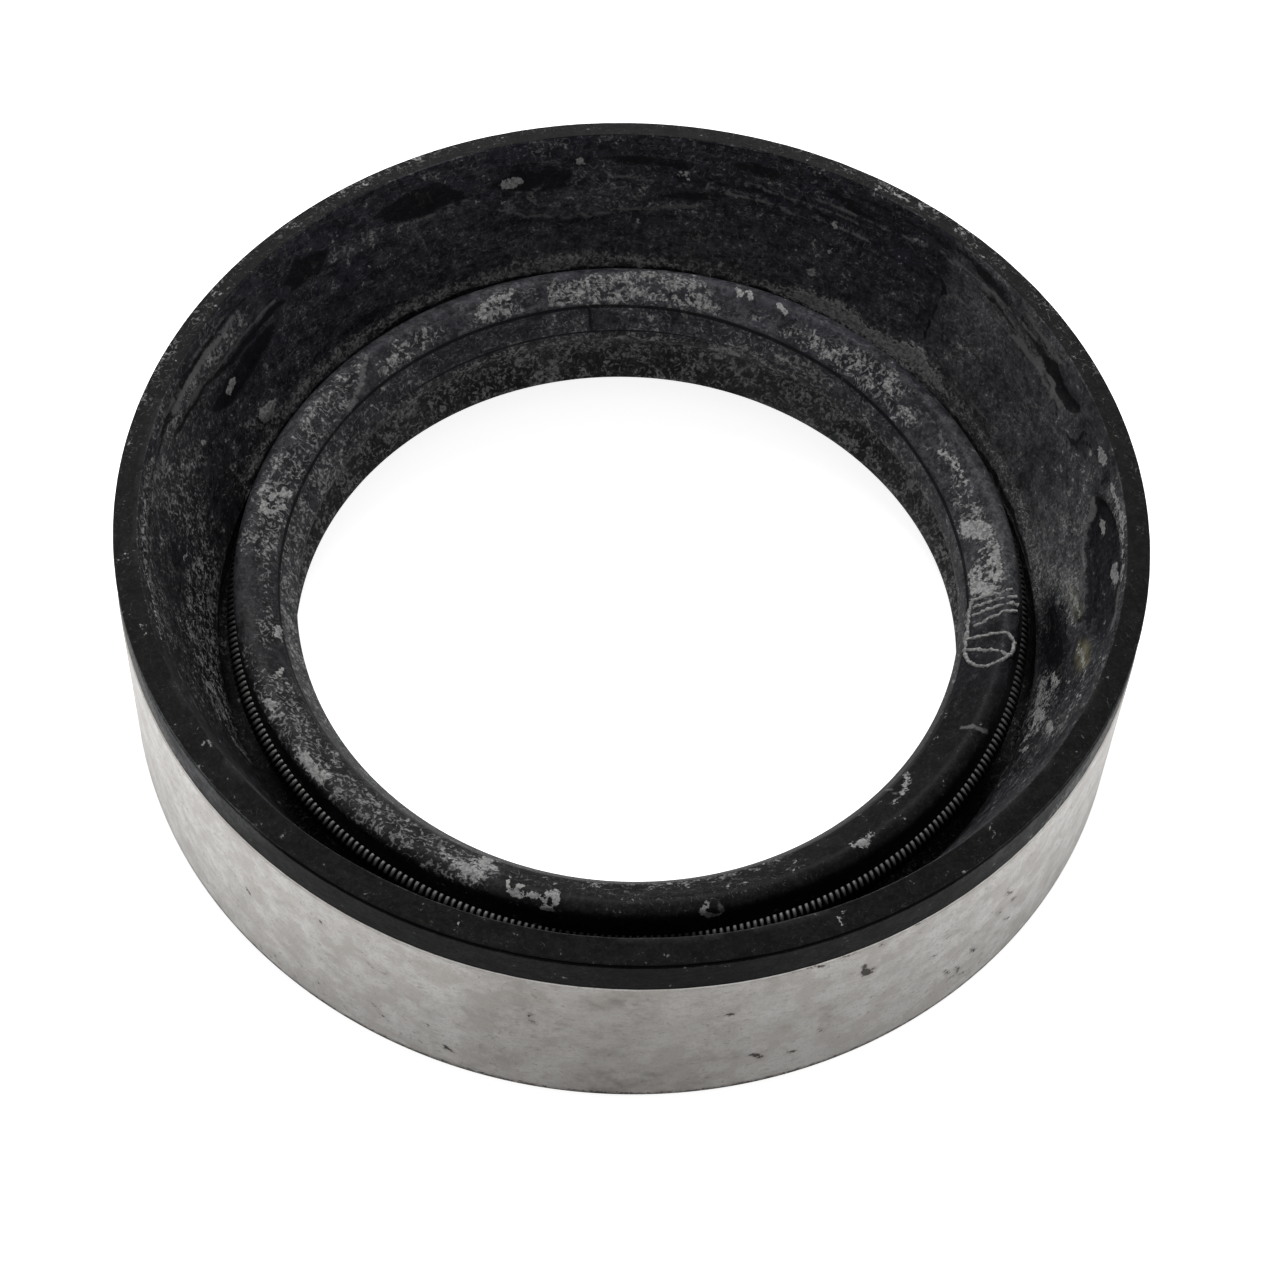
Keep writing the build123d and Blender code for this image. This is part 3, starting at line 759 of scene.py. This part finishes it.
sealMake["bandMarks"] = {
    "chalk": [
        (0.95, 0.1, 1.2, [(174, -0.4), (190, 1.9), (203, 3.3), (217, 0.2), (212, -0.4), (174, -0.4)]),
        (0.62, 0, 1.6, [(318, 0), (326, 2), (334, 2.9), (346, 1.4), (356, -0.4), (318, 0)]),
    ],
}


def wearRim(rim, rimMarks, bandMarks):
    on = rubber.inZone("rim")
    dust = levelRound(rubber.theta[on], rim["dust"]) * rubber.roughen(1, patch=1)[on]
    rubber.paint["dust"][on] = dust * (rim["edgeDust"] - rim["dustFall"] * rubber.along[on])
    rubber.mark(on, rubber.theta, rubber.along, rim["radius"], rimMarks)
    on = rubber.inZone("band")
    lean = np.where(rubber.theta > 270, rim["leanRight"], rim["leanLeft"]) * rubber.along
    leaning = np.abs(rubber.theta - 270) < rim["bandFront"]
    # painted sheen on the band's ends, with slanted edges, carried by the film paint; the band's dust follows
    # it
    film = levelRound((rubber.roughen(rubber.theta, patch=0.8) + lean * leaning)[on], rim["bandSheen"])
    rubber.paint["film"][on] = film * rubber.roughen(1, patch=0.8)[on]
    rubber.paint["dust"][on] = rim["bandDust"] * film
    rubber.mark(on, rubber.roughen(rubber.theta, patch=2.0), rubber.along, rim["bandRadius"], bandMarks)
    # painted shade along the seam with the steel and in the notch under the rim's edge
    rubber.paint["dark"][on & (rubber.height < rim["seamTop"])] = rim["seamDark"]
    notch = (rubber.height > rim["notchLow"]) & (rubber.height < rim["notchHigh"])
    rubber.paint["dark"][on & notch] = rim["notchDark"]
    outer = rubber.inZone("rim", "band")
    rubber.lift[outer] -= rim["wear"] * np.abs(rubber.noise["patch"][outer])


wearRim(sealMake["rim"], sealMake["rimMarks"], sealMake["bandMarks"])

# the rest of the moulding, out of the light
sealMake["hidden"] = {"film": 0.12, "dust": 0.3, "throatLow": 2.5, "throatFilm": 0.22, "throatDust": 0.55}


def wearHidden(make):
    on = rubber.inZone("gutter", "seat", "back")
    rubber.paint["film"][on] = rubber.roughen(make["film"], broad=0.15)[on]
    rubber.paint["dust"][on] = rubber.roughen(make["dust"], broad=0.4)[on]
    throat = rubber.inZone("back") & (rubber.height > make["throatLow"])
    rubber.paint["film"][throat] = rubber.roughen(make["throatFilm"], broad=0.2)[throat]
    rubber.paint["dust"][throat] = rubber.roughen(make["throatDust"], patch=0.5)[throat]


wearHidden(sealMake["hidden"])
rubber.write()
smoothPiece(seal, sealMake["smoothAngle"])
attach(seal, "root")
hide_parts("sealing_element")
print("sealing element", len(sealRows), "rows", len(seal.data.polygons), "faces")

sealMake["grains"] = {"fine": 3800, "curl": 1350, "middle": 1100, "broad": 350, "drag": 2100, "breaks": 2900}
sealMake["colours"] = {
    "plain": ((0.0042, 0.0042, 0.0041), (0.0092, 0.0092, 0.009)),
    "cool": ((0.0038, 0.0038, 0.007), (0.026, 0.026, 0.0355)),
    # drag colour for the lines round the wall; film is a pale dust haze, and on the band's ends a painted
    # sheen
    "drag": (0.03, 0.03, 0.039), "film": (0.17, 0.172, 0.178),
    "paleLine": (0.13, 0.13, 0.135), "darkLine": (0.0035, 0.0035, 0.005),
    "powder": ((0.085, 0.085, 0.086), (0.25, 0.25, 0.245)),
    "warm": (0.155, 0.145, 0.09), "dark": (0.003, 0.003, 0.004), "line": (0.105, 0.105, 0.107),
    "chalk": ((0.13, 0.13, 0.13), (0.3, 0.3, 0.295)),
}


def rubberFinish(grains, colours):
    f = Finish("dustyRubber")
    fine = f.grain(grains["fine"], 2, distort=0.5)
    curl = f.grain(grains["curl"], 1, 0.5, distort=1.0)
    middle = f.grain(grains["middle"], distort=0.3)
    broad = f.grain(grains["broad"], 2, 0.5)
    fineOff, middleOff = f.minus(fine, 0.5), f.minus(middle, 0.5)
    ragged = f.plus(f.times(fineOff, 0.8), f.times(middleOff, 0.8))

    def broken(name):
        return f.between(f.plus(f.layer(name), ragged), 0.42, 0.56)

    # bare rubber with its fine bloom
    grainy = f.between(f.plus(fine, f.times(middleOff, 0.9)), 0.30, 0.72)
    plain = f.blend(grainy, *colours["plain"])
    cool = f.blend(grainy, *colours["cool"])
    # drag lines run round the wall, pale and dark
    drag = f.grain(grains["drag"], stretch=(0.2, 0.2, 1))
    fromLine = f.apart(drag, 0.5)
    lineMask = f.times(f.layer("cool"), f.between(middle, 0.42, 0.6))
    paleLine = f.times(f.between(fromLine, 0.016, 0.005), lineMask)
    darkLine = f.times(f.between(f.apart(drag, 0.42), 0.02, 0.008), f.layer("cool"))
    cool = f.blend(f.between(drag, 0.40, 0.62, 0, 0.45), cool, colours["drag"])
    colour = f.blend(f.layer("cool"), plain, cool)
    # haze from the film paint: dust film on most of the rubber, painted sheen on the band's ends
    hazeAndSheen = f.times(f.layer("film"), f.between(f.plus(fine, middleOff), 0.3, 0.7, 0.5, 1.3))
    colour = f.blend(hazeAndSheen, colour, colours["film"])
    colour = f.blend(f.times(paleLine, 0.55), colour, colours["paleLine"])
    colour = f.blend(f.times(darkLine, 0.5), colour, colours["darkLine"])
    # dust lies in short curls and crumbs, thicker where there is more of it
    dust = f.layer("dust")
    offCurl = f.apart(curl, 0.5)
    reach = f.times(dust, 0.16)
    curls = f.between(offCurl, reach, f.times(reach, 0.4))
    curls = f.times(curls, f.between(f.grain(grains["breaks"], 1, 0.5), 0.42, 0.50))
    clump = f.plus(f.times(middleOff, 1.8), f.times(fineOff, 0.8))
    crumbs = f.between(f.plus(clump, f.times(dust, 0.45)), 0.36, 0.52)
    curls = f.times(curls, f.between(dust, 0.05, 0.7, 0.2, 0.85))
    cover = f.sum("MAXIMUM", curls, f.times(crumbs, 0.9))
    powder = f.blend(f.between(fine, 0.35, 0.65), *colours["powder"])
    colour = f.blend(cover, colour, powder)
    warm = f.times(f.layer("warm"), f.between(middle, 0.35, 0.6, 0.4, 1))
    colour = f.blend(warm, colour, colours["warm"])
    colour = f.blend(f.times(broken("dark"), 0.85), colour, colours["dark"])
    line = f.between(f.plus(f.layer("line"), f.times(ragged, 0.5)), 0.26, 0.52)
    colour = f.blend(f.times(line, 0.8), colour, colours["line"])
    chalk = broken("chalk")
    paleDust = f.blend(f.between(fine, 0.3, 0.7), *colours["chalk"])
    colour = f.blend(f.times(chalk, 0.92), colour, paleDust)
    rough = f.between(f.plus(cover, hazeAndSheen), 0, 1, 0.50, 0.95)
    low = f.bump(broad, 0.0004, 0.35)
    raised = f.plus(f.plus(fine, middle), f.plus(cover, chalk))
    normal = f.bump(raised, 0.00005, 0.5, low)
    return f.surface(Base_Color=colour, Roughness=rough, Specular_IOR_Level=0.06, Normal=normal)


dress(seal, rubberFinish(sealMake["grains"], sealMake["colours"]))


# dried residue standing on the lip in thin loops
residueMake = {
    "radius": 0.17, "sink": 0.04, "cutsPerStep": 6, "wander": 0.3, "jitter": 0.12, "sway": 0.1,
    "smoothAngle": 60, "grain": 4200,
    "slideReach": ([2.2, 4.9, 5.2, 6.36], [0, 1, 1, 0]),
    "colours": ((0.11, 0.11, 0.11), (0.26, 0.26, 0.255)),
    "lines": [
        [(352, 4.9), (352.2, 3.2), (351.9, 1.6), (350.6, 1), (348.4, 1.1), (346.7, 1.8), (345.9, 2.6),
         (346.2, 3.6), (347.4, 4.4), (349.5, 4.9), (352, 4.9)],
        [(349.9, 4.7), (349.3, 3.6), (348.8, 2.4), (348.2, 1.5)],
        [(352, 4.9), (355, 4.95), (357.4, 4.9), (359.6, 4.7)],
        [(354.4, 4.4), (355.3, 3.2), (355.9, 2.2), (356.2, 1.1)],
        [(356.6, 4.6), (357.2, 3.4), (357.3, 2.2), (357.4, 1.1)],
        [(358.3, 4.6), (358.6, 3.4), (358.4, 2.2), (358.8, 1.2)],
        [(359.6, 4.7), (359.9, 3.6), (359.6, 2.4), (0, 1.5)],
    ],
}


def lipPoint(theta, s):
    # a place on the lip's face, from its angle and how far down the face it lies
    face = [(along - sealMake["faceStart"], r, z) for zone, r, z, along in sealRows if zone == "face"]
    places, radii, heights = zip(*face)
    shift = levelRound(np.array([float(theta)]), sealMake["lip"]["slide"])[0]
    shift *= np.interp(s, *residueMake["slideReach"])
    r = np.interp(s - shift, places, radii) - shift * math.cos(sealMake["lipAngle"])
    z = np.interp(s - shift, places, heights) - shift * math.sin(sealMake["lipAngle"])
    a = math.radians(theta)
    return (r * math.cos(a) * mm, r * math.sin(a) * mm, z * mm)


def residueLine(make, index, line):
    cuts = make["cutsPerStep"]
    places = []
    for (a0, s0), (a1, s1) in zip(line, line[1:]):
        for k in range(cuts):
            f = k / cuts
            places.append((a0 + around(a1, a0) * f, s0 + (s1 - s0) * f))
    places.append(line[-1])
    points = []
    for k, (theta, s) in enumerate(places):
        wander = noise.noise(Vector((k * 0.45, index * 3.7, 2.0)))
        jitter = noise.noise(Vector((k * 1.7, index * 2.1, 4.0)))
        turned = theta + make["wander"] * wander + make["jitter"] * jitter
        x, y, z = lipPoint(turned, s + make["sway"] * wander)
        thickness = 0.95 + 0.8 * noise.noise(Vector((k * 0.9, index * 1.3, 7.0)))
        points.append((x, y, z - make["sink"] * mm, thickness))
    return points


def residueFinish(make):
    f = Finish("driedResidueGrey")
    speck = f.grain(make["grain"], 2)
    colour = f.blend(f.between(speck, 0.35, 0.65), *make["colours"])
    normal = f.bump(speck, 0.00004, 0.6)
    return f.surface(Base_Color=colour, Roughness=0.9, Specular_IOR_Level=0.1, Normal=normal)


residueLines = [residueLine(residueMake, index, line) for index, line in enumerate(residueMake["lines"])]
residue = layWire("driedResidue", residueMake["radius"], residueLines)
smoothPiece(residue, residueMake["smoothAngle"])
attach(residue, "root")
print("dried residue", len(residue.data.polygons), "faces")
dress(residue, residueFinish(residueMake))


# steel case: drawn cup, its outside ground to size
caseMake = {
    "section": {
        "ground": [(36, 1.1), (36, 15.8), (35.95, 15.88)],
        "step": [(35.9, 15.9), (35.15, 15.9), (35.15, 18.2), (34.3, 18.2), (34.3, 15.27)]
        + [(34.75, 14.67), (34.75, 1.85), (34.57, 1.43), (34.15, 1.25), (27.55, 1.25)],
        "flange": [(27.5, 1.2), (27.5, 0.08), (27.58, 0), (34.9, 0)]
        + arcPoints((34.9, 1.1), 1.1, -90, 0, 8)[1:],
    },
    "steps": {"ground": 0.3, "step": 6.0, "flange": 0.8},
    "noises": {"broad": ((1, 1, 1), 3.2, 5.2), "fine": ((1, 1, 1), 0.7, 9.4)},
    "smoothAngle": 38,
    "radius": 36.0, "top": 15.9, "footRadius": 34.6,
    # stain level round the case, darkest at the front: partly a real brownish stain, partly painted shade for
    # the darker reflection at the front
    "tone": {
        0: 0.1, 60: 0.14, 120: 0.1, 170: 0.12, 215: 0.02, 240: 0.1, 254: 0.18, 257: 0.4, 280: 0.4,
        286: 0.26, 302: 0.16, 320: 0.03, 345: 0.03,
    },
    "pitDepth": 0.07,
    # blotches are real mottling; the top and foot values are painted shade: a strip along the top edge under
    # the rubber band, and the rounded bottom corner with a dark line above it, where the case meets the floor
    "blotch": 0.1, "blotchReach": (0.3, 0.75), "topShade": 0.45, "topReach": 0.25,
    "footShade": 0.8, "footShadeReach": (14.55, 15.1), "footDark": 0.52, "darkReach": (14.45, 14.85),
    "grains": {"streak": 2600, "fine": 4600, "middle": 620, "broad": 240, "tint": 430, "peck": 2000,
               "scratch": 1500},
    "colours": {
        "steel": ((0.655, 0.635, 0.61), (0.92, 0.907, 0.888)), "tint": (0.56, 0.525, 0.49),
        "stainAndShade": (0.15, 0.127, 0.11), "peck": (0.22, 0.19, 0.17), "scratch": (0.3, 0.28, 0.26),
        "halo": (0.17, 0.145, 0.125), "pitsAndShade": (0.036, 0.031, 0.028),
    },
}
caseMake["marks"] = {
    "pitsAndShade": [
        (0.6, 0.2, 0.45, [(294.6, 0.1), (297, 0.2)]), (0.8, 0.3, 0.45, [(299.2, 0.4), (299.6, 0.7)]),
        (0.8, 0.25, 0.45, [(303.6, 0.1), (305, 0.3)]), (0.8, 0.25, 0.45, [(291.4, 0.1), (292.6, 0.25)]),
        (1, 0.5, 0.5, [(298, 3.4), (298.3, 4)]), (0.9, 0.3, 0.5, [(297.8, 2.5), (298, 3.4)]),
        (0.8, 0.25, 0.5, [(298.3, 4), (299, 3.5)]), (0.9, 0.3, 0.45, [(282.7, 4.2), (283.4, 4.3)]),
        (0.75, 0.3, 0.5, [(262.2, 4.6), (262, 5.3), (262.6, 5.9)]),
        (0.9, 0.3, 0.45, [(285.9, 10.8), (286.6, 11)]), (0.7, 0.3, 0.5, [(286.6, 11), (287.2, 11.6)]),
        (0.85, 0.4, 0.5, [(290.2, 11.9), (291, 11.9)]), (0.85, 0.4, 0.5, [(252.6, 12.5), (253.3, 12.9)]),
        (0.85, 0.35, 0.5, [(309.7, 10.3), (310.1, 10.9)]), (0.9, 0.35, 0.5, [(311.4, 10.9), (311.8, 11.6)]),
        (0.7, 0.3, 0.5, [(310.4, 12), (311.6, 12.2)]), (0.65, 0.3, 0.5, [(312.4, 12.6), (313, 13)]),
        (0.75, 0.4, 0.5, [(313.3, 9.7), (313.9, 10.5)]), (0.7, 0.35, 0.5, [(318.2, 9.2), (319.2, 10)]),
        (0.65, 0.35, 0.5, [(316.8, 6.9), (317.4, 8)]), (0.7, 0.3, 0.5, [(317.4, 5), (318.6, 5.9)]),
        (0.6, 0.25, 0.5, [(319, 7), (319.6, 7.6)]), (0.7, 0.3, 0.5, [(237.8, 2.9), (238.2, 3.4)]),
        (0.65, 0.3, 0.5, [(238, 4.3)]), (0.6, 0.3, 0.5, [(243.6, 5), (244.6, 5.6), (246.4, 5.4)]),
        (0.55, 0.3, 0.5, [(242.6, 4.2), (243.6, 3.6)]),
        (0.6, 0.3, 0.5, [(243.8, 10.6), (244.8, 11.2), (245.8, 12.2)]),
        (0.55, 0.25, 0.5, [(246.4, 7.2), (246.8, 7.8)]), (0.7, 0.25, 0.5, [(226.8, 6.8), (227.2, 7.5)]),
        (0.6, 0.25, 0.5, [(228.5, 5.8)]), (0.65, 0.3, 0.5, [(227.3, 12.2)]),
        (0.75, 0.3, 0.5, [(233.8, 12.5)]), (0.7, 0.25, 0.5, [(236.8, 12.4)]),
        (0.65, 0.25, 0.5, [(230.4, 13.5)]), (0.6, 0.25, 0.5, [(247.3, 13.1)]),
        (0.65, 0.3, 0.5, [(250.2, 10.1), (250.9, 10.5)]), (0.6, 0.25, 0.5, [(240.6, 13.6)]),
        (0.7, 0.3, 0.5, [(292.7, 0.4)]), (0.6, 0.3, 0.5, [(293.8, 9.8), (294.2, 10.4)]),
        (0.5, 0.3, 0.6, [(282.6, 7.2), (283, 8.4)]), (0.55, 0.25, 0.5, [(267.8, 4)]),
        (0.55, 0.25, 0.5, [(271.4, 13.2)]), (0.5, 0.3, 0.6, [(270.2, 8.6), (270.8, 9.6)]),
        (0.6, 0.25, 0.5, [(308.2, 4.4), (309, 5)]), (0.55, 0.25, 0.5, [(306.6, 6.2), (307.4, 6.6)]),
        (0.5, 0.25, 0.5, [(300, 1.4)]), (0.8, 0.5, 0.5, [(24, 6.2)]),
        (0.75, 0.4, 0.5, [(61, 11), (61.6, 11.5)]), (0.6, 0.4, 0.6, [(98, 4.2), (99.4, 5)]),
        (0.8, 0.45, 0.5, [(133, 9.6)]), (0.7, 0.35, 0.5, [(158, 3.4), (158.6, 4)]),
        (0.6, 0.4, 0.6, [(170, 11.6), (171.5, 12.2)]), (0.6, 0.3, 0.5, [(78, 8), (79, 8.6)]),
        (0.7, 0.35, 0.5, [(114, 12.8)]), (0.6, 0.3, 0.5, [(44, 3), (45, 3.6)]),
        (0.6, 0.3, 0.5, [(188, 6), (188.6, 6.8)]),
    ],
}
caseRows = layOut(caseMake["section"], caseMake["steps"])
case = extrudeProfile("steelCase", [(r, z) for _, r, z, _ in caseRows])
spinRound(case)


def wearCase(make):
    steel = Surface(case, caseRows, ("pitsAndShade", "stainAndShade"), make["noises"])
    ground = steel.inZone("ground", "flange")
    down = make["top"] - steel.height
    # stain round the case, partly real and partly painted shade at the front
    level = levelRound(steel.roughen(steel.theta, fine=1.5), make["tone"]) * steel.roughen(1, broad=0.35)
    blotch = make["blotch"] * smoothStep(*make["blotchReach"], steel.roughen(0, broad=1, fine=0.7))
    steel.paint["stainAndShade"][ground] = (level + blotch)[ground]
    theta, s = steel.roughen(steel.theta, fine=0.45), steel.roughen(down, fine=0.2)
    steel.mark(ground, theta, s, make["radius"], make["marks"])
    steel.lift[ground] -= make["pitDepth"] * steel.paint["pitsAndShade"][ground]
    # painted shade on the bottom corner and a dark line just above it, carried by the stain and pit paints
    outer = steel.radius > make["footRadius"]
    steel.paint["stainAndShade"][steel.inZone("flange") & outer] = make["footShade"]
    foot = ground & outer
    steel.darken("stainAndShade", foot, smoothStep(*make["footShadeReach"], steel.roughen(down, fine=0.25)[foot]))
    footLine = smoothStep(*make["darkReach"], steel.roughen(down, fine=0.1)[foot])
    steel.darken("pitsAndShade", foot, make["footDark"] * footLine)
    # painted shade along the top edge, under the rubber band
    steel.darken("stainAndShade", ground & (down < make["topReach"]), make["topShade"])
    steel.write()


wearCase(caseMake)
smoothPiece(case, caseMake["smoothAngle"])
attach(case, "root")
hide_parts("steel_case")
print("steel case", len(caseRows), "rows", len(case.data.polygons), "faces")


def steelFinish(grains, colours):
    f = Finish("groundSteel")
    streak = f.grain(grains["streak"], stretch=(0.55, 0.55, 1))
    fine = f.grain(grains["fine"], 2)
    middle = f.grain(grains["middle"], 5, 0.7, (0.85, 0.85, 1))
    broad = f.grain(grains["broad"], 4)
    tone = f.plus(f.times(streak, 0.26), f.times(middle, 0.36))
    tone = f.plus(tone, f.plus(f.times(broad, 0.12), f.times(fine, 0.26)))
    colour = f.blend(f.between(tone, 0.41, 0.58), *colours["steel"])
    tint = f.between(f.grain(grains["tint"], 4, 0.65), 0.44, 0.60, 0, 0.45)
    colour = f.blend(tint, colour, colours["tint"])
    # stains, and the painted shade at the front, along the top edge and on the bottom corner
    stainAndShade = f.times(f.layer("stainAndShade"), f.between(middle, 0.35, 0.65, 0.6, 1.25))
    colour = f.blend(stainAndShade, colour, colours["stainAndShade"])
    peck = f.between(f.plus(f.grain(grains["peck"], 1, 0.5), f.times(broad, 0.2)), 0.77, 0.86)
    colour = f.blend(f.times(peck, 0.35), colour, colours["peck"])
    # scratches round the case, few and thin
    scratch = f.grain(grains["scratch"], 2, 0.5, (0.12, 0.12, 1))
    thin = f.times(f.between(f.apart(scratch, 0.5), 0.006, 0.002), f.between(broad, 0.50, 0.60))
    colour = f.blend(f.times(thin, 0.35), colour, colours["scratch"])
    # pits, and the painted shade line above the bottom corner
    ragged = f.plus(f.minus(fine, 0.5), f.minus(streak, 0.5))
    pitsAndShade = f.between(f.plus(f.layer("pitsAndShade"), ragged), 0.38, 0.62)
    halo = f.between(f.plus(f.layer("pitsAndShade"), f.times(ragged, 1.5)), 0.05, 0.60, 0, 0.35)
    colour = f.blend(halo, colour, colours["halo"])
    colour = f.blend(f.times(pitsAndShade, 0.9), colour, colours["pitsAndShade"])
    rough = f.between(tone, 0.40, 0.60, 0.36, 0.46)
    normal = f.bump(tone, 0.00005, 0.5)
    return f.surface(Base_Color=colour, Metallic=1.0, Roughness=rough, Normal=normal)


dress(case, steelFinish(caseMake["grains"], caseMake["colours"]))


# garter spring: wire coiled round a closed ring
springMake = {
    "turns": 375, "pointsPerTurn": 12, "ringRadius": 27.9, "height": 8.1,
    "coilRadius": 0.90, "wireRadius": 0.165, "smoothAngle": 60,
    # the painted highlight: its lean from outward, its band across the top, its depth into the wire, and how
    # strongly it shows at each angle round the ring
    "shineAngle": 72, "shineTop": (0.89, 0.96), "shineDepth": (0.17, 0.04),
    "shine": {
        0: 0.3, 20: 0.15, 186: 0.1, 196: 0.5, 210: 0.85, 225: 1, 250: 1, 259: 0.5, 263: 0, 281: 0, 285: 0.6,
        292: 1, 325: 1, 338: 0.7, 350: 0.4,
    },
    "paintedHighlight": ((0.88, 0.87, 0.85), (0.99, 0.98, 0.96)), "paintedShade": (0.022, 0.022, 0.022),
}


def coilLine(make):
    total = make["turns"] * make["pointsPerTurn"]
    points = []
    for k in range(total):
        turn = 2 * math.pi * k / total
        twist = 2 * math.pi * k / make["pointsPerTurn"]
        r = make["ringRadius"] + make["coilRadius"] * math.cos(twist)
        z = make["height"] + make["coilRadius"] * math.sin(twist)
        points.append((r * math.cos(turn) * mm, r * math.sin(turn) * mm, z * mm, 1))
    return points


def paintCoilHighlight(piece, make):
    # painted shade darkens the coil all round except a band along its top, where a painted highlight on each
    # turn of wire stands in for the reflection of the light
    co = np.zeros(len(piece.data.vertices) * 3, np.float32)
    piece.data.vertices.foreach_get("co", co)
    x, y, z = co.reshape(-1, 3).T / mm
    out, up = np.hypot(x, y) - make["ringRadius"], z - make["height"]
    outer = make["coilRadius"] + make["wireRadius"]
    lean = math.radians(make["shineAngle"])
    top = (out * math.cos(lean) + up * math.sin(lean)) / outer
    low, high = make["shineDepth"]
    shine = smoothStep(*make["shineTop"], top) * smoothStep(outer - low, outer - high, np.hypot(out, up))
    theta = np.degrees(np.arctan2(y, x)) % 360
    shine *= levelRound(theta, make["shine"])
    writeLayer(piece, "paintedShade", 1 - shine)


spring = layWire("garterSpring", springMake["wireRadius"], [coilLine(springMake)], closed=True)
paintCoilHighlight(spring, springMake)
smoothPiece(spring, springMake["smoothAngle"])
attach(spring, "root")
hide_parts("garter_spring")
print("garter spring", len(spring.data.polygons), "faces")


def springFinish(make):
    f = Finish("dullSpringSteel")
    film = f.grain(500)
    # near-white colour for the painted highlight, and dark painted shade over the rest of the coil
    paintedHighlight = f.blend(f.between(film, 0.35, 0.65), *make["paintedHighlight"])
    colour = f.blend(f.layer("paintedShade"), paintedHighlight, make["paintedShade"])
    rough = f.between(film, 0.3, 0.7, 0.40, 0.28)
    normal = f.bump(f.grain(5000, 2, 0.5), 0.00001, 0.3)
    return f.surface(Base_Color=colour, Metallic=0.85, Roughness=rough, Normal=normal)


dress(spring, springFinish(springMake))


# floor, light and camera
stageLook = {
    "floorRadius": 3.0, "floorDrop": 0.00003, "floorColour": (0.70, 0.70, 0.70, 1),
    "cameraGlow": 0.86, "glossyGlow": 0.16, "sky": 0.40, "ceiling": 0.36, "horizon": 1.0,
    "skyFrom": 0.1, "skyTo": 0.75,
    "lampPlace": (-0.06, 0.30, 0.48), "lampAim": (0, 0, 0.008), "lampSize": (0.45, 0.3), "lampWatts": 3.3,
    "lens": 92.93, "sensor": 36.0, "cameraTilt": 3.532,
    "cameraPlace": (0, -0.13556, 0.20460), "cameraAim": (0.00094, -0.00440, 0.00985),
}


class Glow(Graph):
    # how a background shows: bright to the camera, to gloss and through glass, plain as a light
    def __init__(self, tree):
        super().__init__(tree)
        self.rays = self.add("ShaderNodeLightPath").outputs
        self.camera = self.rays["Is Camera Ray"]

    def glossy(self):
        return self.sum("MAXIMUM", self.rays["Is Glossy Ray"], self.rays["Is Transmission Ray"])


def layFloor(look):
    clearSelection()
    bpy.ops.mesh.primitive_circle_add(
        vertices=96, radius=look["floorRadius"], fill_type="NGON", location=(0, 0, -look["floorDrop"])
    )
    floor = bpy.context.object
    floor.name = "floor"
    bpy.ops.object.transform_apply(location=True, rotation=True, scale=True)
    paper = bpy.data.materials.new("paperFloor")
    paper.use_nodes = True
    nodes = paper.node_tree.nodes
    shader = nodes["Principled BSDF"]
    shader.inputs["Base Color"].default_value = look["floorColour"]
    shader.inputs["Roughness"].default_value = 0.9
    shader.inputs["Specular IOR Level"].default_value = 0.1
    glow = Glow(paper.node_tree)
    seen = glow.times(glow.camera, look["cameraGlow"])
    level = glow.plus(seen, glow.times(glow.glossy(), look["glossyGlow"]))
    light = glow.add("ShaderNodeEmission", {"Strength": level})
    both = glow.add("ShaderNodeAddShader", {0: shader.outputs[0], 1: light.outputs[0]})
    glow.feed(nodes["Material Output"].inputs["Surface"], both.outputs[0])
    floor.data.materials.append(paper)


def lightSky(look):
    world = bpy.data.worlds.new("studio")
    bpy.context.scene.world = world
    world.use_nodes = True
    glow = Glow(world.node_tree)
    seen = glow.sum("MAXIMUM", glow.camera, glow.glossy())
    direction = glow.add("ShaderNodeTexCoord").outputs["Generated"]
    height = glow.add("ShaderNodeSeparateXYZ", {0: direction}).outputs["Z"]
    shade = glow.between(height, look["skyFrom"], look["skyTo"], look["horizon"], look["ceiling"])
    shown = glow.times(seen, shade)
    plain = glow.times(glow.minus(1, seen), look["sky"])
    background = world.node_tree.nodes["Background"]
    background.inputs["Color"].default_value = (1, 1, 1, 1)
    glow.feed(background.inputs["Strength"], glow.plus(shown, plain))


def hangLamp(look):
    lamp = bpy.data.lights.new("overhead", "AREA")
    lamp.shape = "RECTANGLE"
    lamp.size, lamp.size_y = look["lampSize"]
    lamp.energy = look["lampWatts"]
    holder = bpy.data.objects.new("overhead", lamp)
    bpy.context.scene.collection.objects.link(holder)
    holder.location = look["lampPlace"]
    toward = Vector(look["lampAim"]) - Vector(look["lampPlace"])
    holder.rotation_euler = toward.to_track_quat("-Z", "Y").to_euler()


def placeCamera(look):
    lens = bpy.data.cameras.new("camera")
    lens.lens = look["lens"]
    lens.sensor_width = look["sensor"]
    lens.clip_start, lens.clip_end = 0.01, 20
    camera = bpy.data.objects.new("camera", lens)
    bpy.context.scene.collection.objects.link(camera)
    camera.location = look["cameraPlace"]
    toward = Vector(look["cameraAim"]) - Vector(look["cameraPlace"])
    tilt = Quaternion((0, 0, 1), math.radians(look["cameraTilt"]))
    camera.rotation_euler = (toward.to_track_quat("-Z", "Y") @ tilt).to_euler()
    bpy.context.scene.camera = camera


layFloor(stageLook)
lightSky(stageLook)
hangLamp(stageLook)
placeCamera(stageLook)
bpy.context.scene.view_settings.view_transform = "Standard"
print("stage ready")
